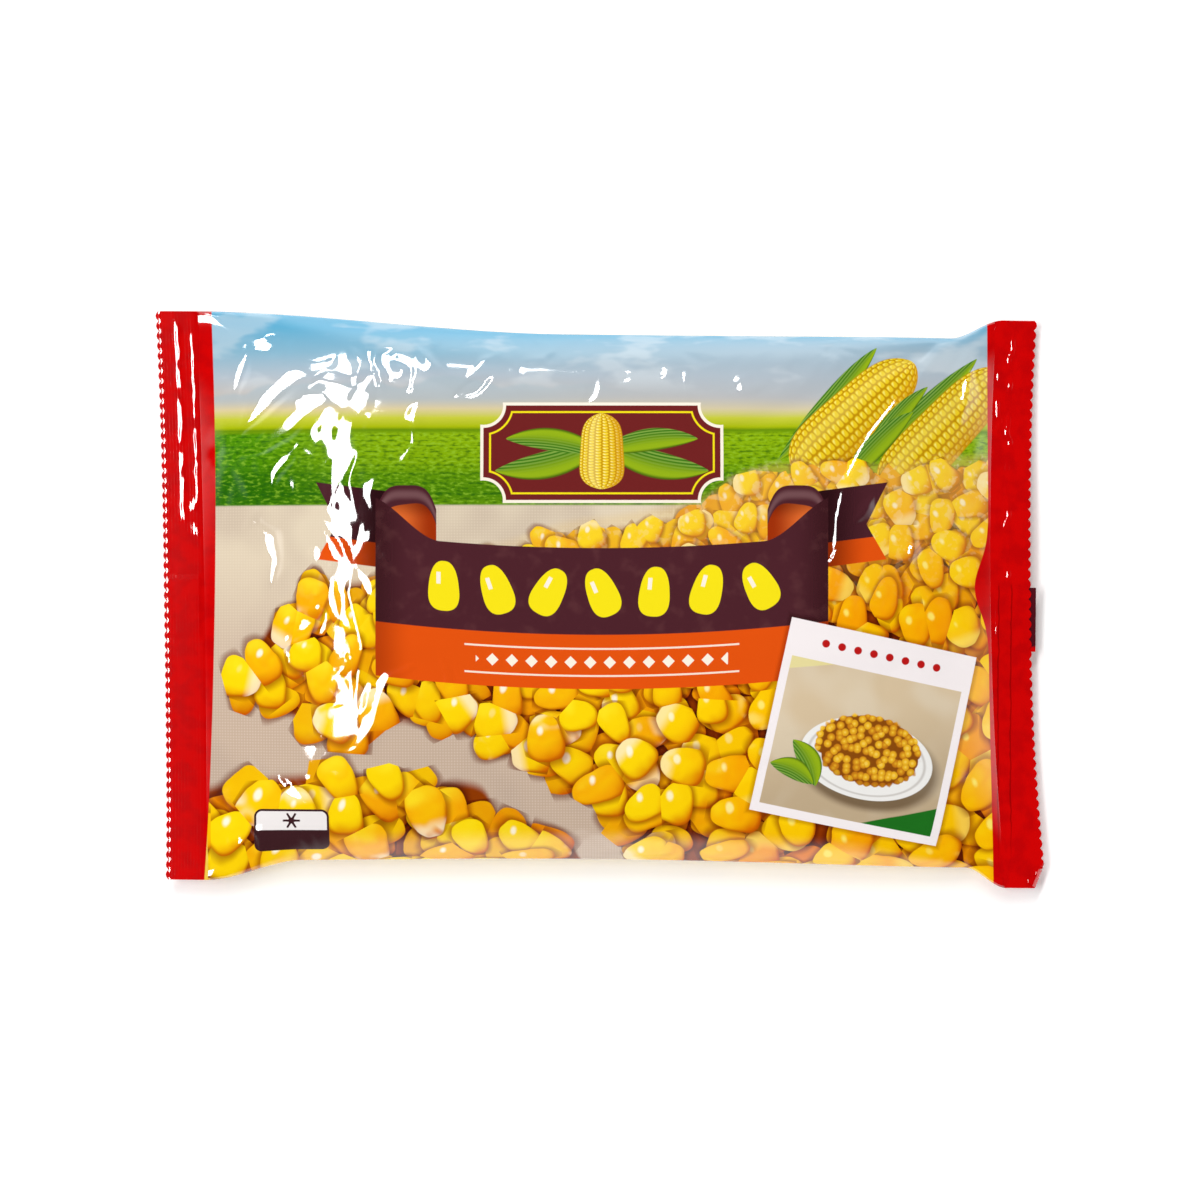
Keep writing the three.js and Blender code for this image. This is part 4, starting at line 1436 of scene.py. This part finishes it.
FIN_PRINT_FROM = 2 * FLAT_HALF_WIDTH + 0.2  # the fin's place round the film tube


def draw_ends(w, place, x, y, noise, drawings):
    """Plain warm yellow, as the back is, and red at both ends. The fin's end is maroon."""
    back = w.paint(srgb(238, 196, 60), srgb(244, 210, 96), w.ramp(noise, 0.3, 0.7))
    colour = add_red_ends(w, back, x, y, noise)
    on_fin = w.ramp(y, FIN_PRINT_FROM - 0.1, FIN_PRINT_FROM)
    return w.paint(colour, srgb(78, 16, 26), on_fin * w.ramp(x, 112.8, 113.2))


def draw_sky(w, place, x, y, noise, drawings):
    colour = draw_sky_and_field(w, place, x, y)
    colour = add_plaque(w, colour, place, x, y, drawings)
    return add_red_ends(w, colour, x, y, noise)


def draw_sky_with_cobs(w, place, x, y, noise, drawings):
    colour = draw_sky_and_field(w, place, x, y)
    colour = add_cobs(w, colour, place, drawings)
    return add_red_ends(w, colour, x, y, noise)


def draw_ribbon(w, place, x, y, noise, drawings):
    colour = add_ribbon_band(w, BROWN, x, y, noise)
    return add_kernel_row(w, colour, x, y)


def add_whole_ribbon(w, below, x, y, noise):
    colour = add_ribbon_ends(w, below, x, y)
    colour = add_ribbon_band(w, colour, x, y, noise)
    return add_kernel_row(w, colour, x, y)


def draw_ground(w, place, x, y):
    """Linen, with the field and the sky beyond it."""
    return w.paint(draw_linen(w, place, x, y), draw_sky_and_field(w, place, x, y), w.ramp(y, 24.9, 25.5))


def draw_heap(w, place, x, y, noise, drawings):
    colour = draw_ground(w, place, x, y)
    colour = add_kernels(w, colour, place, x, y, drawings)
    colour = add_plaque(w, colour, place, x, y, drawings)
    colour = add_whole_ribbon(w, colour, x, y, noise)
    colour = add_badge(w, colour, x, y)
    return add_red_ends(w, colour, x, y, noise)


def draw_heap_with_card(w, place, x, y, noise, drawings):
    colour = draw_ground(w, place, x, y)
    colour = add_cobs(w, colour, place, drawings)
    colour = add_kernels(w, colour, place, x, y, drawings)
    colour = add_whole_ribbon(w, colour, x, y, noise)
    colour = add_card(w, colour, place, drawings)
    return add_red_ends(w, colour, x, y, noise)


# The film's faces are shared out between a few materials, each with only its part of the print
PRINTS = {
    "plain and red film": draw_ends,
    "sky film": draw_sky,
    "sky film with cobs": draw_sky_with_cobs,
    "ribbon film": draw_ribbon,
    "heap film": draw_heap,
    "heap film with card": draw_heap_with_card,
}
SKY_ABOVE = 44.5
CARD_AND_COBS_FROM = 36.5


def part_of_print(x, round_tube):
    """Which of the prints a face at this place on the film has."""
    past_left = x < LEFT_RED["x"] + LEFT_RED["bow"] * (round_tube - LEFT_RED["bow_from"]) ** 2 - 1.5
    past_right = x > RIGHT_RED["x"] + max(0.0, round_tube * -0.02) + 1.5
    level = round_tube - RIBBON_RISE * (x - 0.5) ** 2
    if abs(round_tube) > 80 or past_left or past_right:
        name = "plain and red film"
    elif round_tube > SKY_ABOVE:
        name = "sky film" if x < CARD_AND_COBS_FROM else "sky film with cobs"
    elif -57.5 < x < 44 and -21.5 < level < 11.5:
        name = "ribbon film"
    else:
        name = "heap film" if x < CARD_AND_COBS_FROM else "heap film with card"
    return list(PRINTS).index(name)


def make_drawings():
    heaps = make_heap_group()
    return {
        "heaps": heaps,
        "fine kernels": make_kernel_group("kernel layer", heaps, True),
        "plain kernels": make_kernel_group("low kernel layer", heaps, False),
        "cob": make_cob_group(),
        "leaf": make_leaf_group(),
    }


SMOOTHEST = 0.04  # roughness of the film and its coat
ROUGHNESS_SPREAD = 0.03


def make_film_material(name, draw, drawings):
    film = bpy.data.materials.new(name)
    film.use_nodes = True
    w = Wiring(film.node_tree)
    shader = film.node_tree.nodes["Principled BSDF"]
    on_map = w.node("UVMap", uv_map=FILM_MAP)
    place = w.placed(on_map.outputs[0], (0.5, 0.5), 0, 1 / MAP_LENGTH, 1 / MAP_GIRTH)
    x, y = w.split(place)
    noise = w.noise(place, 0.2, 2.0)
    w.feed(shader.inputs["Base Color"], draw(w, place, x, y, noise, drawings))
    w.feed(shader.inputs["Roughness"], noise * ROUGHNESS_SPREAD + SMOOTHEST)
    shader.inputs["Coat Weight"].default_value = 1.0
    shader.inputs["Coat Roughness"].default_value = SMOOTHEST
    return film


def dress_body(body, films):
    """Gives each face of the film the material with its part of the print."""
    for film in films:
        body.data.materials.append(film)
    on_film = body.data.uv_layers[FILM_MAP].uv
    parts = []
    for face in body.data.polygons:
        corners = [on_film[number].vector for number in face.loop_indices]
        x = (sum(corner.x for corner in corners) / len(corners) - 0.5) * MAP_LENGTH
        round_tube = (sum(corner.y for corner in corners) / len(corners) - 0.5) * MAP_GIRTH
        parts.append(part_of_print(x, round_tube))
    body.data.polygons.foreach_set("material_index", parts)


drawings = make_drawings()
films = [make_film_material(name, draw, drawings) for name, draw in PRINTS.items()]
for piece in (body, left_seal, right_seal, fin):
    piece.data.materials.clear()
dress_body(body, films)
for piece in (left_seal, right_seal, fin):
    piece.data.materials.append(films[0])


for piece in (body, left_seal, right_seal, fin):
    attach(piece, "root")
    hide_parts("film_bag")


TABLE_SIDE = 3.0
TABLE_GLOW = 0.15  # a light table, so that it comes out white round the bag
CAMERA_LENS = 100
CAMERA_SENSOR = 36
VIEW_WIDTH = 0.3218  # of the table that the picture shows
VIEW_HEIGHT = 0.012  # of the film that the picture's scale is taken at


def make_table():
    deselect_all()
    bpy.ops.mesh.primitive_plane_add(size=TABLE_SIDE)
    table = bpy.context.object
    table.name = "table"
    cover = bpy.data.materials.new("white table")
    cover.use_nodes = True
    shader = cover.node_tree.nodes["Principled BSDF"]
    shader.inputs["Base Color"].default_value = (0.92, 0.92, 0.92, 1)
    shader.inputs["Roughness"].default_value = 0.7
    shader.inputs["Emission Color"].default_value = (1, 1, 1, 1)
    shader.inputs["Emission Strength"].default_value = TABLE_GLOW
    table.data.materials.append(cover)


def put_in_scene(name, data):
    made = bpy.data.objects.new(name, data)
    bpy.context.scene.collection.objects.link(made)
    return made


def make_camera():
    data = bpy.data.cameras.new("camera")
    data.lens = CAMERA_LENS
    data.sensor_width = CAMERA_SENSOR
    camera = put_in_scene("camera", data)
    camera.location = (0, 0, VIEW_HEIGHT + VIEW_WIDTH * CAMERA_LENS / CAMERA_SENSOR)
    bpy.context.scene.camera = camera


SOFTBOX_RADIANCE = 22
ZENITH_LIGHT = 0.015
HORIZON_LIGHT = 1.4


def add_softbox(name, first, last):
    """A long softbox that faces the bag, between two slopes off the vertical."""
    ends = [Vector((*slope, 1)) * LIGHT_HEIGHT for slope in (first, last)]
    place = (ends[0] + ends[1]) / 2
    backward = place.normalized()
    along = (ends[1] - ends[0]).normalized()
    sideways = along.cross(backward).normalized()
    data = bpy.data.lights.new(name, "AREA")
    data.shape = "RECTANGLE"
    data.size = SOFTBOX_WIDTH * LIGHT_HEIGHT
    data.size_y = (ends[1] - ends[0]).length
    data.energy = SOFTBOX_RADIANCE * pi * data.size * data.size_y
    facing = Matrix((sideways, backward.cross(sideways), backward)).transposed()
    put_in_scene(name, data).matrix_world = Matrix.Translation(place) @ facing.to_4x4()


def make_light():
    """A dark ceiling and pale walls, so that the flat film isn't veiled, and softboxes at the left."""
    world = bpy.data.worlds.new("studio")
    bpy.context.scene.world = world
    world.use_nodes = True
    w = Wiring(world.node_tree)
    height = w.vector_value("DOT_PRODUCT", w.node("TexCoord").outputs["Generated"], (0, 0, 1))
    walls = w.ramp(height, 0.72, 0.4)
    sky = world.node_tree.nodes["Background"]
    sky.inputs["Color"].default_value = (1, 1, 1, 1)
    w.feed(sky.inputs["Strength"], walls * (HORIZON_LIGHT - ZENITH_LIGHT) + ZENITH_LIGHT)
    for name, (first, last) in SOFTBOXES.items():
        add_softbox(name, first, last)
    bpy.context.scene.view_settings.view_transform = "Standard"


make_table()
make_camera()
make_light()
